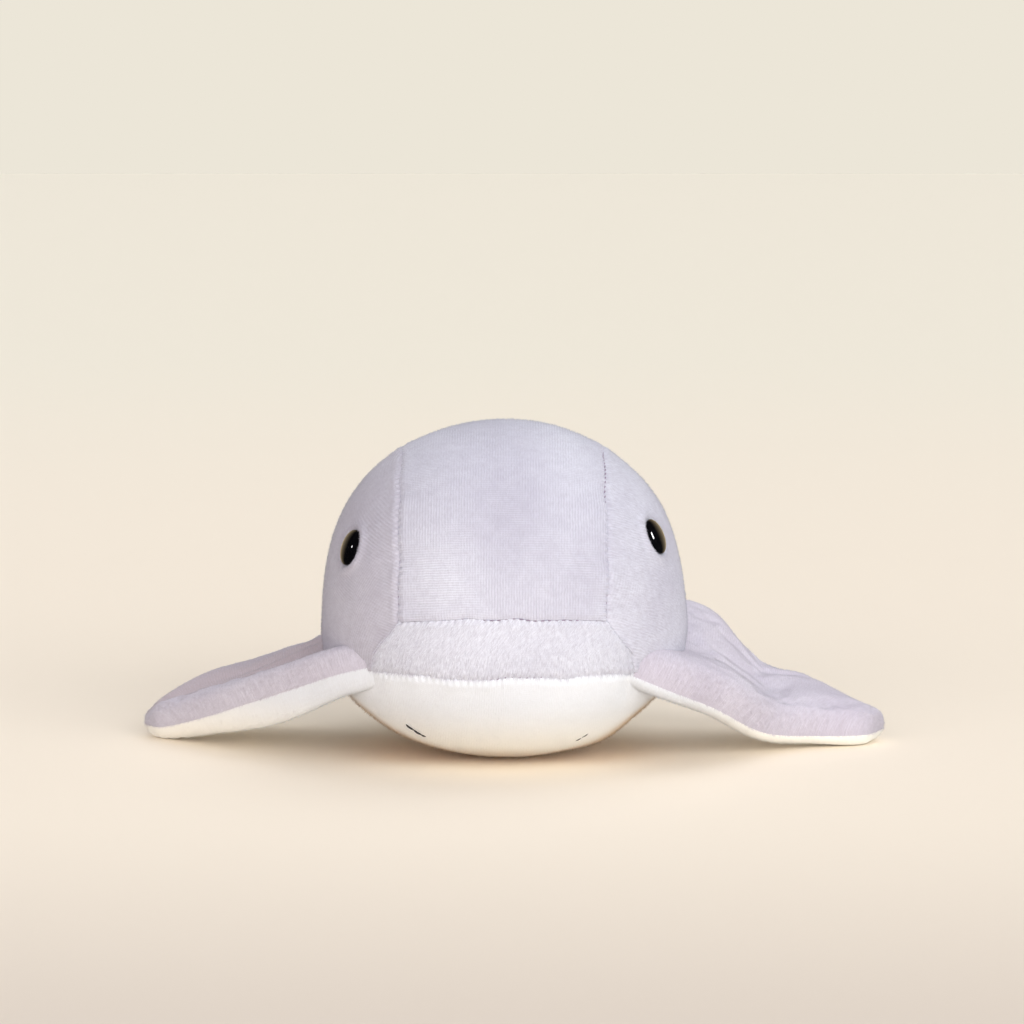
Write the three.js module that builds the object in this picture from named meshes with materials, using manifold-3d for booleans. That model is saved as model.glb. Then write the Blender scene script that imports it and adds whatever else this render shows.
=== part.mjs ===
// Plush stingray: a stuffed cloth toy with a domed body, two drooping wings and a tail.
// Millimetres, +Z up. The toy faces -Y, so its own left side is +X.
// The origin is the middle of the flat patch of belly that the toy rests on.

import * as THREE from 'three';
import { mergeVertices } from 'three/addons/utils/BufferGeometryUtils.js';
import Module from 'manifold-3d';

const wasm = await Module();
wasm.setup();

// Cloth with its pile, sewing thread, and the clearance between touching pieces and over the table
const SKIN = 1.5;
const THREAD = 1.0;
const CLEAR = 0.3;
const TABLE_GAP = 0.3;
const SEAM_GAP = THREAD + 2 * CLEAR;
const SEAM_DEPTH = SKIN - THREAD / 2;

// Body: half sizes from its widest level, and how full its sections are (2 is an ellipse)
const BODY_HALF_WIDTH = 65.5;
const BODY_FRONT = 66;
const BODY_REAR = 98;
const BODY_CROWN = 72.3;
const BODY_BELLY = 47.5;
const PLAN_FULLNESS = 2.1;
const CROWN_FULLNESS = 2.25;
const BELLY_FULLNESS = 1.95;
const REST_FLAT = 0.5;
const BODY_LEVEL = BODY_BELLY - REST_FLAT;

// Seams between the body's panels: half widths from the middle plane, heights above the table
const CROWN_SEAM_FRONT = 36;
const CROWN_SEAM_REAR = 16;
const BELLY_SEAM_HEIGHT = 36.2;
const SNOUT_MIDDLE_HEIGHT = 57.2;
const SNOUT_CORNER_HEIGHT = 55.2;
const SNOUT_SHOULDER_HALF = 44.4;
const SNOUT_SHOULDER_HEIGHT = 43.6;
const SNOUT_FOOT_HALF = 45.5;

// Safety eyes: a dome on a stem, with a locking washer behind the cloth
const EYE_DIAMETER = 13;
const EYE_DOME = 2.4;
const EYE_RIM = 0.6;
const EYE_STEM = 5;
const EYE_STEM_LENGTH = 13;
const EYE_WASHER = 12;
const EYE_WASHER_THICKNESS = 1.6;
const LEFT_EYE_ALONG = -28;
const LEFT_EYE_HEIGHT = 81.5;
const RIGHT_EYE_ALONG = -31;
const RIGHT_EYE_HEIGHT = 78;

// Sewn smile on the front of the belly
const MOUTH_HALF_WIDTH = 34;
const MOUTH_END_HEIGHT = 16.5;
const MOUTH_MIDDLE_HEIGHT = 2.6;

// Wings: at each station, the distance out from the body's side and, for the front and the back
// edge, the place along Y and the height of the edge seam. The filling lifts the top panel into a round
// roll along the front edge, which falls to a thin puff, and the underside by a share of that. Behind
// the roll the wing sags into a valley.
const LEFT_WING = [
  { out: -31.5, front: [-50, 40], back: [44, 44] },
  { out: -9.5, front: [-41, 29.5], back: [53, 45.5] },
  { out: 8.5, front: [-27, 20.5], back: [55, 42.5] },
  { out: 27.5, front: [-9, 8.6], back: [50, 24] },
  { out: 46.5, front: [3, 5.2], back: [43, 18] },
  { out: 64.5, front: [9, 4.4], back: [34, 9] },
  { out: 74, front: [19, 4.4], back: [28.5, 5.2] },
];
const RIGHT_WING = [
  { out: -31.5, front: [-50, 41], back: [44, 36] },
  { out: -9.5, front: [-40, 35], back: [55, 34] },
  { out: 8.5, front: [-27, 27.2], back: [58, 27] },
  { out: 25.5, front: [-12, 19.6], back: [57, 21] },
  { out: 42.5, front: [4, 12], back: [52, 17] },
  { out: 58, front: [19, 6], back: [43, 10] },
  { out: 67, front: [27, 4.6], back: [36, 5.4] },
];
const LEFT_WING_SAG = 0.35;
const RIGHT_WING_SAG = 0.9;
const LEFT_WING_ROLL = 8.5;
const RIGHT_WING_ROLL = 6.5;
const WING_ROLL_TAPER = 0.35;
const WING_ROLL_FALL = 0.9;
const WING_PUFF = 3;
const WING_VALLEY = 6;
const WING_VALLEY_PLACE = -0.05;
const WING_VALLEY_SPREAD = 0.36;
const WING_TIP_START = 0.75;
const WING_TIP_SHARE = 0.35;

// Each wing lifts about a line along Y, just inside the body's side
const WING_HINGE_INSET = 3.5;
const WING_HINGE_HEIGHT = 42;
const WING_LIFT = 50;
const WING_LIFT_STEP = 10;

// Tail: at each station, the distance behind its root, the height and the half width. It is sewn on
// where the body reaches farthest back.
const TAIL = [
  { behind: 0, height: BODY_LEVEL, half: 3 },
  { behind: 10, height: 44, half: 10.5 },
  { behind: 32, height: 31, half: 12.5 },
  { behind: 62, height: 16.5, half: 10.5 },
  { behind: 90, height: 10, half: 8 },
  { behind: 110, height: 7.6, half: 5.5 },
  { behind: 117, height: 6.4, half: 3 },
];
const TAIL_ROUNDNESS = 0.75;
const TAIL_KNOT = 6;

// Facets
const BODY_COLUMNS = 32;
const BODY_ROWS = 16;
const STUFFING_COARSENESS = 2;
const WING_FACETS = { rows: 12, columns: 10, firstFilled: 0, lastFilled: 9 };
const TAIL_FACETS = { rows: 10, columns: 8, firstFilled: 1, lastFilled: 8 };
const FILLING_EDGE = 2;
const TIP_TURN = 4;
const THREAD_SIDES = 6;
const SEAM_STEPS = 22;
const BELLY_SEAM_STEPS = 40;
const MOUTH_STEPS = 14;
const PLAN_STEPS = 12;
const EYE_SEGMENTS = 18;
const EYE_ARC = 5;
const KNOT_COLUMNS = 10;
const KNOT_ROWS = 6;

// How far inside the round body the middle of a facet lies
const FACET_SAG = BODY_REAR * (1 - Math.cos(Math.PI / BODY_COLUMNS));

// Farther than any side of the toy, a step for slopes, and how near a search comes to a point
const FAR = 4 * (BODY_HALF_WIDTH + BODY_REAR);
const SLOPE_STEP = 1e-3;
const NEAR = 1e-6;

// Finishes
const LAVENDER_PLUSH = { color: 0xd3cfdd, roughness: 0.95, metalness: 0 };
const WHITE_PLUSH = { color: 0xf3efe9, roughness: 0.95, metalness: 0 };
const FIBRE_FILL = { color: 0xf6f4f0, roughness: 1, metalness: 0 };
const LAVENDER_THREAD = { color: 0xb9b1c4, roughness: 0.8, metalness: 0 };
const DARK_THREAD = { color: 0x2b2a30, roughness: 0.7, metalness: 0 };
const BLACK_PLASTIC = { color: 0x0b0b0d, roughness: 0.12, metalness: 0 };
const NATURAL_PLASTIC = { color: 0xe6e2d8, roughness: 0.5, metalness: 0 };

const stingray = new THREE.Group();
stingray.name = 'plush_stingray';

/** Adds one named piece to the toy. */
function addPiece(name, geometry, finish) {
  const piece = new THREE.Mesh(geometry, new THREE.MeshStandardMaterial(finish));
  piece.name = name;
  stingray.add(piece);
  return piece;
}

/** Solid of a closed geometry, whose corners are merged by position alone. */
function solidOf(geometry) {
  const bare = geometry.clone();
  bare.deleteAttribute('normal');
  bare.deleteAttribute('uv');
  const merged = mergeVertices(bare);
  return new wasm.Manifold(new wasm.Mesh({
    numProp: 3,
    vertProperties: new Float32Array(merged.attributes.position.array),
    triVerts: new Uint32Array(merged.index.array),
  }));
}

/** Geometry of a solid. */
function geometryOf(solid) {
  const { vertProperties, triVerts } = solid.getMesh();
  const geometry = new THREE.BufferGeometry();
  geometry.setAttribute('position', new THREE.BufferAttribute(vertProperties, 3));
  geometry.setIndex(new THREE.BufferAttribute(triVerts, 1));
  geometry.computeVertexNormals();
  return geometry;
}

/** Block between two opposite corners. */
function block(first, second) {
  const box = new THREE.Box3().setFromPoints([first, second]);
  const size = box.getSize(new THREE.Vector3());
  const middle = box.getCenter(new THREE.Vector3());
  return solidOf(new THREE.BoxGeometry(...size).translate(...middle));
}

/** Everything below a height. */
function below(height) {
  return block(new THREE.Vector3(-FAR, -FAR, -FAR), new THREE.Vector3(FAR, FAR, height));
}

/** Tube of sewing thread with one ring at each point of its route. */
function thread(points) {
  const route = new THREE.CatmullRomCurve3(points);
  route.getUtoTmapping = (share) => share;
  const corners = Array.from({ length: THREAD_SIDES }, (_, side) => {
    const angle = (side / THREAD_SIDES) * 2 * Math.PI;
    return new THREE.Vector2(Math.cos(angle), Math.sin(angle)).multiplyScalar(THREAD / 2);
  });
  return new THREE.ExtrudeGeometry(new THREE.Shape(corners), {
    extrudePath: route,
    steps: points.length - 1,
    bevelEnabled: false,
  });
}

/** Points of a route given as a function of the share 0 to 1 along it. */
function sample(steps, place) {
  return Array.from({ length: steps + 1 }, (_, step) => place(step / steps));
}

// The body's form

/** Size of a vector from the body's middle, measured in bodies grown by an amount: 1 is on the skin. */
function gauge({ x, y, z }, grow) {
  const depth = (y < 0 ? BODY_FRONT : BODY_REAR) + grow;
  const height = (z < 0 ? BODY_BELLY : BODY_CROWN) + grow;
  const fullness = z < 0 ? BELLY_FULLNESS : CROWN_FULLNESS;
  const across = Math.abs(x / (BODY_HALF_WIDTH + grow)) ** PLAN_FULLNESS;
  const along = Math.abs(y / depth) ** PLAN_FULLNESS;
  const plan = (across + along) ** (1 / PLAN_FULLNESS);
  return (plan ** fullness + Math.abs(z / height) ** fullness) ** (1 / fullness);
}

/** Closed form of the body, grown by an amount, with facets that are a number of times coarser. */
function bodyGeometry(grow, coarseness = 1) {
  const ball = new THREE.SphereGeometry(1, BODY_COLUMNS / coarseness, BODY_ROWS / coarseness);
  ball.rotateX(Math.PI / 2);
  const places = ball.attributes.position;
  const point = new THREE.Vector3();
  for (let corner = 0; corner < places.count; corner += 1) {
    point.fromBufferAttribute(places, corner);
    point.divideScalar(gauge(point, grow));
    places.setXYZ(corner, point.x, point.y, point.z + BODY_LEVEL);
  }
  return ball;
}

/** Point where a ray from a place inside the body meets the skin of the body grown by an amount. */
function onSkin(start, direction, grow) {
  const middle = new THREE.Vector3(0, 0, BODY_LEVEL);
  let inside = 0;
  let outside = FAR;
  while (outside - inside > NEAR) {
    const reach = (inside + outside) / 2;
    const point = start.clone().addScaledVector(direction, reach).sub(middle);
    if (gauge(point, grow) < 1) inside = reach;
    else outside = reach;
  }
  return start.clone().addScaledVector(direction, inside);
}

/** Direction straight out of the skin at a point on it. */
function skinNormal(point) {
  const from = point.clone().sub(new THREE.Vector3(0, 0, BODY_LEVEL));
  const slope = ['x', 'y', 'z'].map((axis) => {
    const ahead = from.clone();
    ahead[axis] += SLOPE_STEP;
    return gauge(ahead, 0) - gauge(from, 0);
  });
  return new THREE.Vector3(...slope).normalize();
}

/** Half width of the crown panel at a place along Y: it narrows towards the tail. */
function crownSeam(along) {
  const share = THREE.MathUtils.clamp(along / BODY_REAR, 0, 1);
  const narrowing = (1 - Math.cos(Math.PI * share)) / 2;
  return THREE.MathUtils.lerp(CROWN_SEAM_FRONT, CROWN_SEAM_REAR, narrowing);
}

/** Everything above or below the crown panel's outline, moved out by an offset. */
function crownColumn(offset) {
  const places = [-FAR, ...sample(PLAN_STEPS, (share) => share * BODY_REAR), FAR];
  const right = places.map((along) => new THREE.Vector2(crownSeam(along) + offset, along));
  const left = right.map(({ x, y }) => new THREE.Vector2(-x, y)).reverse();
  const plan = new THREE.Shape([...right, ...left]);
  const column = new THREE.ExtrudeGeometry(plan, { depth: 2 * FAR, bevelEnabled: false });
  return solidOf(column.translate(0, 0, -FAR));
}

// The snout panel's outline seen from the front, from its left foot round to its right
const snoutOutline = [
  [-SNOUT_FOOT_HALF, BELLY_SEAM_HEIGHT],
  [SNOUT_FOOT_HALF, BELLY_SEAM_HEIGHT],
  [SNOUT_SHOULDER_HALF, SNOUT_SHOULDER_HEIGHT],
  [CROWN_SEAM_FRONT, SNOUT_CORNER_HEIGHT],
  [0, SNOUT_MIDDLE_HEIGHT],
  [-CROWN_SEAM_FRONT, SNOUT_CORNER_HEIGHT],
  [-SNOUT_SHOULDER_HALF, SNOUT_SHOULDER_HEIGHT],
].map((corner) => new THREE.Vector2(...corner));

/** Everything in front of the body's middle within the snout's outline, moved out by an offset. */
function snoutColumn(offset) {
  const count = snoutOutline.length;
  const outward = snoutOutline.map((corner, index) => {
    const edge = snoutOutline[(index + 1) % count].clone().sub(corner).normalize();
    return new THREE.Vector2(edge.y, -edge.x);
  });
  const moved = snoutOutline.map((corner, index) => {
    const before = outward[(index + count - 1) % count];
    const after = outward[index];
    const shift = before.clone().add(after).multiplyScalar(offset / (1 + before.dot(after)));
    return corner.clone().add(shift);
  });
  const column = new THREE.ExtrudeGeometry(new THREE.Shape(moved), { depth: FAR, bevelEnabled: false });
  return solidOf(column.rotateX(Math.PI / 2));
}

// Body panels: a shell of cloth cut along the seams

const bodySkin = solidOf(bodyGeometry(0)).subtract(solidOf(bodyGeometry(-SKIN)));
const upperSkin = bodySkin.subtract(below(BELLY_SEAM_HEIGHT + SEAM_GAP / 2))
  .subtract(snoutColumn(SEAM_GAP / 2));
const crownPanel = upperSkin.intersect(crownColumn(-SEAM_GAP / 2));
const cheeks = upperSkin.subtract(crownColumn(SEAM_GAP / 2));
const snoutPanel = bodySkin.intersect(snoutColumn(-SEAM_GAP / 2));
const bellyPanel = bodySkin.intersect(below(BELLY_SEAM_HEIGHT - SEAM_GAP / 2)).subtract(below(0));
let bodyStuffing = solidOf(bodyGeometry(-SKIN - CLEAR, STUFFING_COARSENESS));

addPiece('crown_panel', geometryOf(crownPanel), LAVENDER_PLUSH);
addPiece('snout_panel', geometryOf(snoutPanel), LAVENDER_PLUSH);
addPiece('belly_panel', geometryOf(bellyPanel), WHITE_PLUSH);

// Eyes: each stem passes through a hole in its cheek panel into a pocket in the stuffing

/** Profile of an eye from its stem's end up to the top of its dome. */
function eyeProfile() {
  const radius = EYE_DIAMETER / 2;
  const dome = sample(EYE_ARC, (share) => {
    const angle = (share * Math.PI) / 2;
    return new THREE.Vector2(radius * Math.cos(angle), EYE_RIM + (EYE_DOME - EYE_RIM) * Math.sin(angle));
  });
  dome[EYE_ARC].x = 0;
  return [
    new THREE.Vector2(0, -EYE_STEM_LENGTH),
    new THREE.Vector2(EYE_STEM / 2, -EYE_STEM_LENGTH),
    new THREE.Vector2(EYE_STEM / 2, 0),
    new THREE.Vector2(radius, 0),
    ...dome,
  ];
}

/** Profile of a locking washer round an eye's stem. */
function washerProfile() {
  const inner = EYE_STEM / 2 + CLEAR;
  const outer = EYE_WASHER / 2;
  return [
    new THREE.Vector2(inner, -EYE_WASHER_THICKNESS),
    new THREE.Vector2(outer, -EYE_WASHER_THICKNESS),
    new THREE.Vector2(outer, 0),
    new THREE.Vector2(inner, 0),
    new THREE.Vector2(inner, -EYE_WASHER_THICKNESS),
  ];
}

/** Round hole of a radius from a depth under a turned frame's ground up to a height over it. */
function hole(frame, radius, depth, height) {
  const bore = new THREE.CylinderGeometry(radius, radius, depth + height, EYE_SEGMENTS);
  return solidOf(bore.translate(0, (height - depth) / 2, 0).applyMatrix4(frame));
}

/** Depth to which a flat disc of a diameter sinks under the skin before its edge is under it too. */
function edgeDrop(diameter) {
  return diameter ** 2 / (8 * (BODY_HALF_WIDTH - SKIN));
}

/** Cheek panel with its eye and washer; side is 1 on the toy's left and -1 on its right. */
function addCheek(name, side, eyeAlong, eyeHeight) {
  const outward = new THREE.Vector3(side, 0, 0);
  const seat = onSkin(new THREE.Vector3(0, eyeAlong, eyeHeight), outward, 0);
  const normal = skinNormal(seat);
  const turn = new THREE.Quaternion().setFromUnitVectors(THREE.Object3D.DEFAULT_UP, normal);
  const frame = new THREE.Matrix4().compose(seat, turn, new THREE.Vector3(1, 1, 1));
  const half = block(new THREE.Vector3(0, -FAR, -FAR), new THREE.Vector3(side * FAR, FAR, FAR));
  const stemHole = hole(frame, EYE_STEM / 2 + CLEAR, EYE_STEM_LENGTH, EYE_DOME);
  const pocket = hole(frame, EYE_WASHER / 2 + CLEAR, EYE_STEM_LENGTH + CLEAR, EYE_DOME);
  bodyStuffing = bodyStuffing.subtract(pocket);
  addPiece(`${name}_cheek_panel`, geometryOf(cheeks.intersect(half).subtract(stemHole)), LAVENDER_PLUSH);

  const eye = addPiece(`${name}_eye`, new THREE.LatheGeometry(eyeProfile(), EYE_SEGMENTS), BLACK_PLASTIC);
  eye.position.copy(seat).addScaledVector(normal, CLEAR);
  eye.quaternion.copy(turn);
  const ring = new THREE.LatheGeometry(washerProfile(), EYE_SEGMENTS);
  const washer = addPiece(`${name}_eye_washer`, ring, NATURAL_PLASTIC);
  const washerDepth = SKIN + FACET_SAG + edgeDrop(EYE_WASHER) + CLEAR;
  washer.position.copy(seat).addScaledVector(normal, -washerDepth);
  washer.quaternion.copy(turn);
}

addCheek('left', 1, LEFT_EYE_ALONG, LEFT_EYE_HEIGHT);
addCheek('right', -1, RIGHT_EYE_ALONG, RIGHT_EYE_HEIGHT);
addPiece('body_stuffing', geometryOf(bodyStuffing), FIBRE_FILL);

// Seam threads of the body, each in the gap between two panels, at the back of the cloth

/** Angle about the X axis, from straight ahead up over the crown, of a point on the body. */
function overAngle({ y, z }) {
  const angle = Math.atan2(z - BODY_LEVEL, -y);
  return angle < -Math.PI / 2 ? angle + 2 * Math.PI : angle;
}

/** Point of the left crown seam at an angle over the crown, found by settling its half width. */
function crownSeamPoint(angle) {
  const direction = new THREE.Vector3(0, -Math.cos(angle), Math.sin(angle));
  const start = new THREE.Vector3(CROWN_SEAM_FRONT, 0, BODY_LEVEL);
  let point = onSkin(start, direction, -SEAM_DEPTH);
  while (Math.abs(crownSeam(point.y) - start.x) > SLOPE_STEP) {
    start.x = crownSeam(point.y);
    point = onSkin(start, direction, -SEAM_DEPTH);
  }
  return point;
}

/** Route of the left crown seam from just over the snout's corner to just over the belly seam. */
function crownSeamRoute() {
  const stop = SEAM_GAP + CLEAR;
  const front = new THREE.Vector3(CROWN_SEAM_FRONT, 0, SNOUT_CORNER_HEIGHT + stop);
  const rear = new THREE.Vector3(CROWN_SEAM_REAR, 0, BELLY_SEAM_HEIGHT + stop);
  const first = overAngle(onSkin(front, new THREE.Vector3(0, -1, 0), -SEAM_DEPTH));
  const last = overAngle(onSkin(rear, new THREE.Vector3(0, 1, 0), -SEAM_DEPTH));
  return sample(SEAM_STEPS, (share) => crownSeamPoint(THREE.MathUtils.lerp(first, last, share)));
}

const leftCrownSeam = crownSeamRoute();
const rightCrownSeam = leftCrownSeam.map(({ x, y, z }) => new THREE.Vector3(-x, y, z));
addPiece('left_crown_seam_thread', thread(leftCrownSeam), LAVENDER_THREAD);
addPiece('right_crown_seam_thread', thread(rightCrownSeam), LAVENDER_THREAD);

/** Route of the snout's seam: up one side, across the face and down the other side. */
function snoutSeamRoute() {
  const [, , ...upper] = snoutOutline;
  const stop = SEAM_GAP + CLEAR;
  const foot = (side) => new THREE.Vector2(side * SNOUT_FOOT_HALF, BELLY_SEAM_HEIGHT + stop);
  const corners = [foot(1), ...upper, foot(-1)];
  const seam = new THREE.CurvePath();
  corners.slice(1).forEach((corner, index) => seam.add(new THREE.LineCurve(corners[index], corner)));
  const ahead = new THREE.Vector3(0, -1, 0);
  return seam.getSpacedPoints(SEAM_STEPS).map(({ x, y }) => (
    onSkin(new THREE.Vector3(x, 0, y), ahead, -SEAM_DEPTH)
  ));
}

/** Route of the belly seam all round the body, with its two thread ends apart at the rear. */
function bellySeamRoute() {
  const level = new THREE.Vector3(0, 0, BELLY_SEAM_HEIGHT);
  const endGap = (THREAD + CLEAR) / BODY_REAR;
  return sample(BELLY_SEAM_STEPS, (share) => {
    const angle = THREE.MathUtils.lerp(endGap, 2 * Math.PI - endGap, share);
    return onSkin(level, new THREE.Vector3(Math.sin(angle), Math.cos(angle), 0), -SEAM_DEPTH);
  });
}

/** Route of the smile: its middle is low on the belly and its ends turn up. */
function mouthRoute() {
  const ahead = new THREE.Vector3(0, -1, 0);
  return sample(MOUTH_STEPS, (share) => {
    const across = 2 * share - 1;
    const height = THREE.MathUtils.lerp(MOUTH_MIDDLE_HEIGHT, MOUTH_END_HEIGHT, across ** 2);
    return onSkin(new THREE.Vector3(across * MOUTH_HALF_WIDTH, 0, height), ahead, THREAD / 2 + CLEAR);
  });
}

addPiece('snout_seam_thread', thread(snoutSeamRoute()), LAVENDER_THREAD);
addPiece('belly_seam_thread', thread(bellySeamRoute()), LAVENDER_THREAD);
addPiece('mouth_thread', thread(mouthRoute()), DARK_THREAD);

// Limbs: an upper and a lower panel sewn together along their edges, round a filling. A limb's middle
// surface is a function of s, 0 at the root to 1 at the tip, and c, -1 at one edge to 1 at the other.

/** Direction out of the upper side of a limb's middle surface. */
function limbNormal(middle, s, c) {
  const outward = middle(Math.min(s + SLOPE_STEP, 1), c).sub(middle(Math.max(s - SLOPE_STEP, 0), c));
  const across = middle(s, Math.min(c + SLOPE_STEP, 1)).sub(middle(s, Math.max(c - SLOPE_STEP, -1)));
  return outward.cross(across).normalize();
}

/** Closed slab between two surfaces, given as grids of points with as many rows and columns. */
function slab(upper, lower) {
  const rows = upper.length - 1;
  const columns = upper[0].length - 1;
  const top = (row, column) => row * (columns + 1) + column;
  const bottom = (row, column) => (rows + 1) * (columns + 1) + top(row, column);
  const indices = [];
  const quad = (a, b, c, d) => indices.push(a, b, c, a, c, d);
  const wall = (fromRow, fromColumn, toRow, toColumn) => quad(
    bottom(fromRow, fromColumn),
    bottom(toRow, toColumn),
    top(toRow, toColumn),
    top(fromRow, fromColumn),
  );
  for (let row = 0; row < rows; row += 1) {
    for (let column = 0; column < columns; column += 1) {
      const [r, c] = [row + 1, column + 1];
      quad(top(row, column), top(r, column), top(r, c), top(row, c));
      quad(bottom(row, column), bottom(row, c), bottom(r, c), bottom(r, column));
    }
    wall(row, 0, row + 1, 0);
    wall(row + 1, columns, row, columns);
  }
  for (let column = 0; column < columns; column += 1) {
    wall(0, column + 1, 0, column);
    wall(rows, column, rows, column + 1);
  }
  const geometry = new THREE.BufferGeometry();
  const positions = [upper, lower].flat(2).flatMap((point) => point.toArray());
  geometry.setAttribute('position', new THREE.Float32BufferAttribute(positions, 3));
  geometry.setIndex(indices);
  geometry.computeVertexNormals();
  return geometry;
}

/** Panels, filling and seam thread of a limb, from its middle surface and its swell above and below. */
function sewLimb(middle, rise, drop, { rows, columns, firstFilled, lastFilled }) {
  const layer = (side, swell, thickness) => (s, c) => {
    const lift = side * (SEAM_GAP / 2 + swell(s, c) + thickness);
    const place = middle(s, c).addScaledVector(limbNormal(middle, s, c), lift);
    place.z = Math.max(place.z, TABLE_GAP + SKIN - thickness);
    return place;
  };
  const grid = (surface, first, last, edge) => Array.from({ length: last - first + 1 }, (_, row) => (
    Array.from({ length: columns + 1 - 2 * edge }, (__, column) => {
      const c = Math.sin(((column + edge) / columns - 0.5) * Math.PI);
      return surface((first + row) / rows, c);
    })
  ));
  const panel = (surface) => grid(surface, 0, rows, 0);
  const core = (surface) => grid(surface, firstFilled, lastFilled, FILLING_EDGE);

  const halfChord = (s) => middle(s, 1).distanceTo(middle(s, -1)) / 2;
  const lastStep = middle(1, 0).distanceTo(middle(1 - 1 / rows, 0)) * rows;
  const tip = 1 - THREAD / lastStep;
  const seamEdge = (s) => 1 - THREAD / halfChord(s);
  const outwards = sample(rows - 1, (share) => (share * (rows - 1)) / rows);
  const turn = sample(TIP_TURN, (share) => middle(tip, (2 * share - 1) * seamEdge(tip)));
  const seam = [
    ...outwards.map((s) => middle(s, -seamEdge(s))),
    ...turn,
    ...outwards.reverse().map((s) => middle(s, seamEdge(s))),
  ];
  return {
    upper: slab(panel(layer(1, rise, SKIN)), panel(layer(1, rise, 0))),
    lower: slab(panel(layer(-1, drop, 0)), panel(layer(-1, drop, SKIN))),
    filling: slab(core(layer(1, rise, -CLEAR)), core(layer(-1, drop, -CLEAR))),
    seam: thread(seam),
  };
}

// Wings: sheets that roll over at the front edge, cut back from the body where they lift

/** Space that the body takes up beside a wing as the wing lifts. */
function liftedBody(side) {
  const hinge = new THREE.Vector3(side * (BODY_HALF_WIDTH - WING_HINGE_INSET), 0, WING_HINGE_HEIGHT);
  let space = solidOf(bodyGeometry(CLEAR));
  for (let lift = WING_LIFT_STEP; lift <= WING_LIFT; lift += WING_LIFT_STEP) {
    const turned = bodyGeometry(CLEAR).translate(-hinge.x, 0, -hinge.z);
    turned.rotateY(side * THREE.MathUtils.degToRad(lift)).translate(hinge.x, 0, hinge.z);
    space = space.add(solidOf(turned));
  }
  return space;
}

/** Bell curve: 1 at a place, and about a third at a spread away from it. */
function bell(value, place, spread) {
  return Math.exp(-(((value - place) / spread) ** 2));
}

/** Height of a quarter circle at a share of its radius in from its edge, and 1 farther in. */
function quarterRound(inward) {
  return Math.sqrt(1 - (1 - Math.min(inward, 1)) ** 2);
}

/** Wing from its stations, sag and front roll's radius; side is 1 on the toy's left and -1 on its right. */
function addWing(name, side, stations, sag, roll) {
  const edge = (which) => new THREE.CatmullRomCurve3(stations.map((station) => (
    new THREE.Vector3(side * (BODY_HALF_WIDTH + station.out), ...station[which])
  )), false, 'catmullrom');
  const front = edge('front');
  const back = edge('back');
  const middle = (s, c) => {
    const place = front.getPoint(s).lerp(back.getPoint(s), (1 + side * c) / 2);
    const valley = WING_VALLEY * bell(side * c, WING_VALLEY_PLACE, WING_VALLEY_SPREAD);
    place.z -= valley * (1 - s ** 2) * (1 - c ** 2);
    return place;
  };
  const rise = (s, c) => {
    const radius = roll * (1 - WING_ROLL_TAPER * s ** 3);
    const chord = front.getPoint(s).distanceTo(back.getPoint(s)) / radius;
    const fromFront = (chord * (1 + side * c)) / 2;
    const fromBack = (chord * (1 - side * c)) / 2;
    const fall = bell(Math.max(fromFront, 1), 1, WING_ROLL_FALL);
    const height = THREE.MathUtils.lerp(WING_PUFF, radius, fall);
    const tip = THREE.MathUtils.clamp((s - WING_TIP_START) / (1 - WING_TIP_START), 0, 1);
    const tipShare = THREE.MathUtils.lerp(WING_TIP_SHARE, 1, Math.sqrt(1 - tip ** 2));
    return height * tipShare * quarterRound(fromFront) * quarterRound(fromBack);
  };
  const drop = (s, c) => sag * rise(s, c);
  const limb = sewLimb(middle, rise, drop, WING_FACETS);
  const space = liftedBody(side);
  const cut = (geometry) => geometryOf(solidOf(geometry).subtract(space));
  addPiece(`${name}_wing_top`, cut(limb.upper), LAVENDER_PLUSH);
  addPiece(`${name}_wing_underside`, cut(limb.lower), WHITE_PLUSH);
  addPiece(`${name}_wing_batting`, cut(limb.filling), FIBRE_FILL);
  addPiece(`${name}_wing_seam_thread`, cut(limb.seam), LAVENDER_THREAD);
}

addWing('left', 1, LEFT_WING, LEFT_WING_SAG, LEFT_WING_ROLL);
addWing('right', -1, RIGHT_WING, RIGHT_WING_SAG, RIGHT_WING_ROLL);

// Tail: a stuffed taper, pinched at its root and held to the crown panel by a knot of thread

const knotPlace = new THREE.Vector3(0, BODY_REAR + CLEAR + TAIL_KNOT / 2, BODY_LEVEL);
const knotBall = new THREE.SphereGeometry(TAIL_KNOT / 2, KNOT_COLUMNS, KNOT_ROWS);
const knot = addPiece('tail_root_knot', knotBall, LAVENDER_THREAD);
knot.position.copy(knotPlace);

const tailRoot = knotPlace.y + TAIL_KNOT / 2 + CLEAR;
const tailLine = new THREE.CatmullRomCurve3(TAIL.map(({ behind, height, half }) => (
  new THREE.Vector3(half, tailRoot + behind, height)
)), false, 'catmullrom');
const tailMiddle = (s, c) => tailLine.getPoint(s).multiply(new THREE.Vector3(-c, 1, 1));
const tailSwell = (s, c) => Math.sqrt(Math.max(1 - c ** 2, 0)) * tailLine.getPoint(s).x * TAIL_ROUNDNESS;
const tail = sewLimb(tailMiddle, tailSwell, tailSwell, TAIL_FACETS);
addPiece('tail_upper_panel', tail.upper, LAVENDER_PLUSH);
addPiece('tail_lower_panel', tail.lower, WHITE_PLUSH);
addPiece('tail_stuffing', tail.filling, FIBRE_FILL);
addPiece('tail_seam_thread', tail.seam, LAVENDER_THREAD);

export default stingray;
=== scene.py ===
"""Looks of a plush stingray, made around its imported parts. Shapes are in mm until they become meshes."""

from functools import partial

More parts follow.
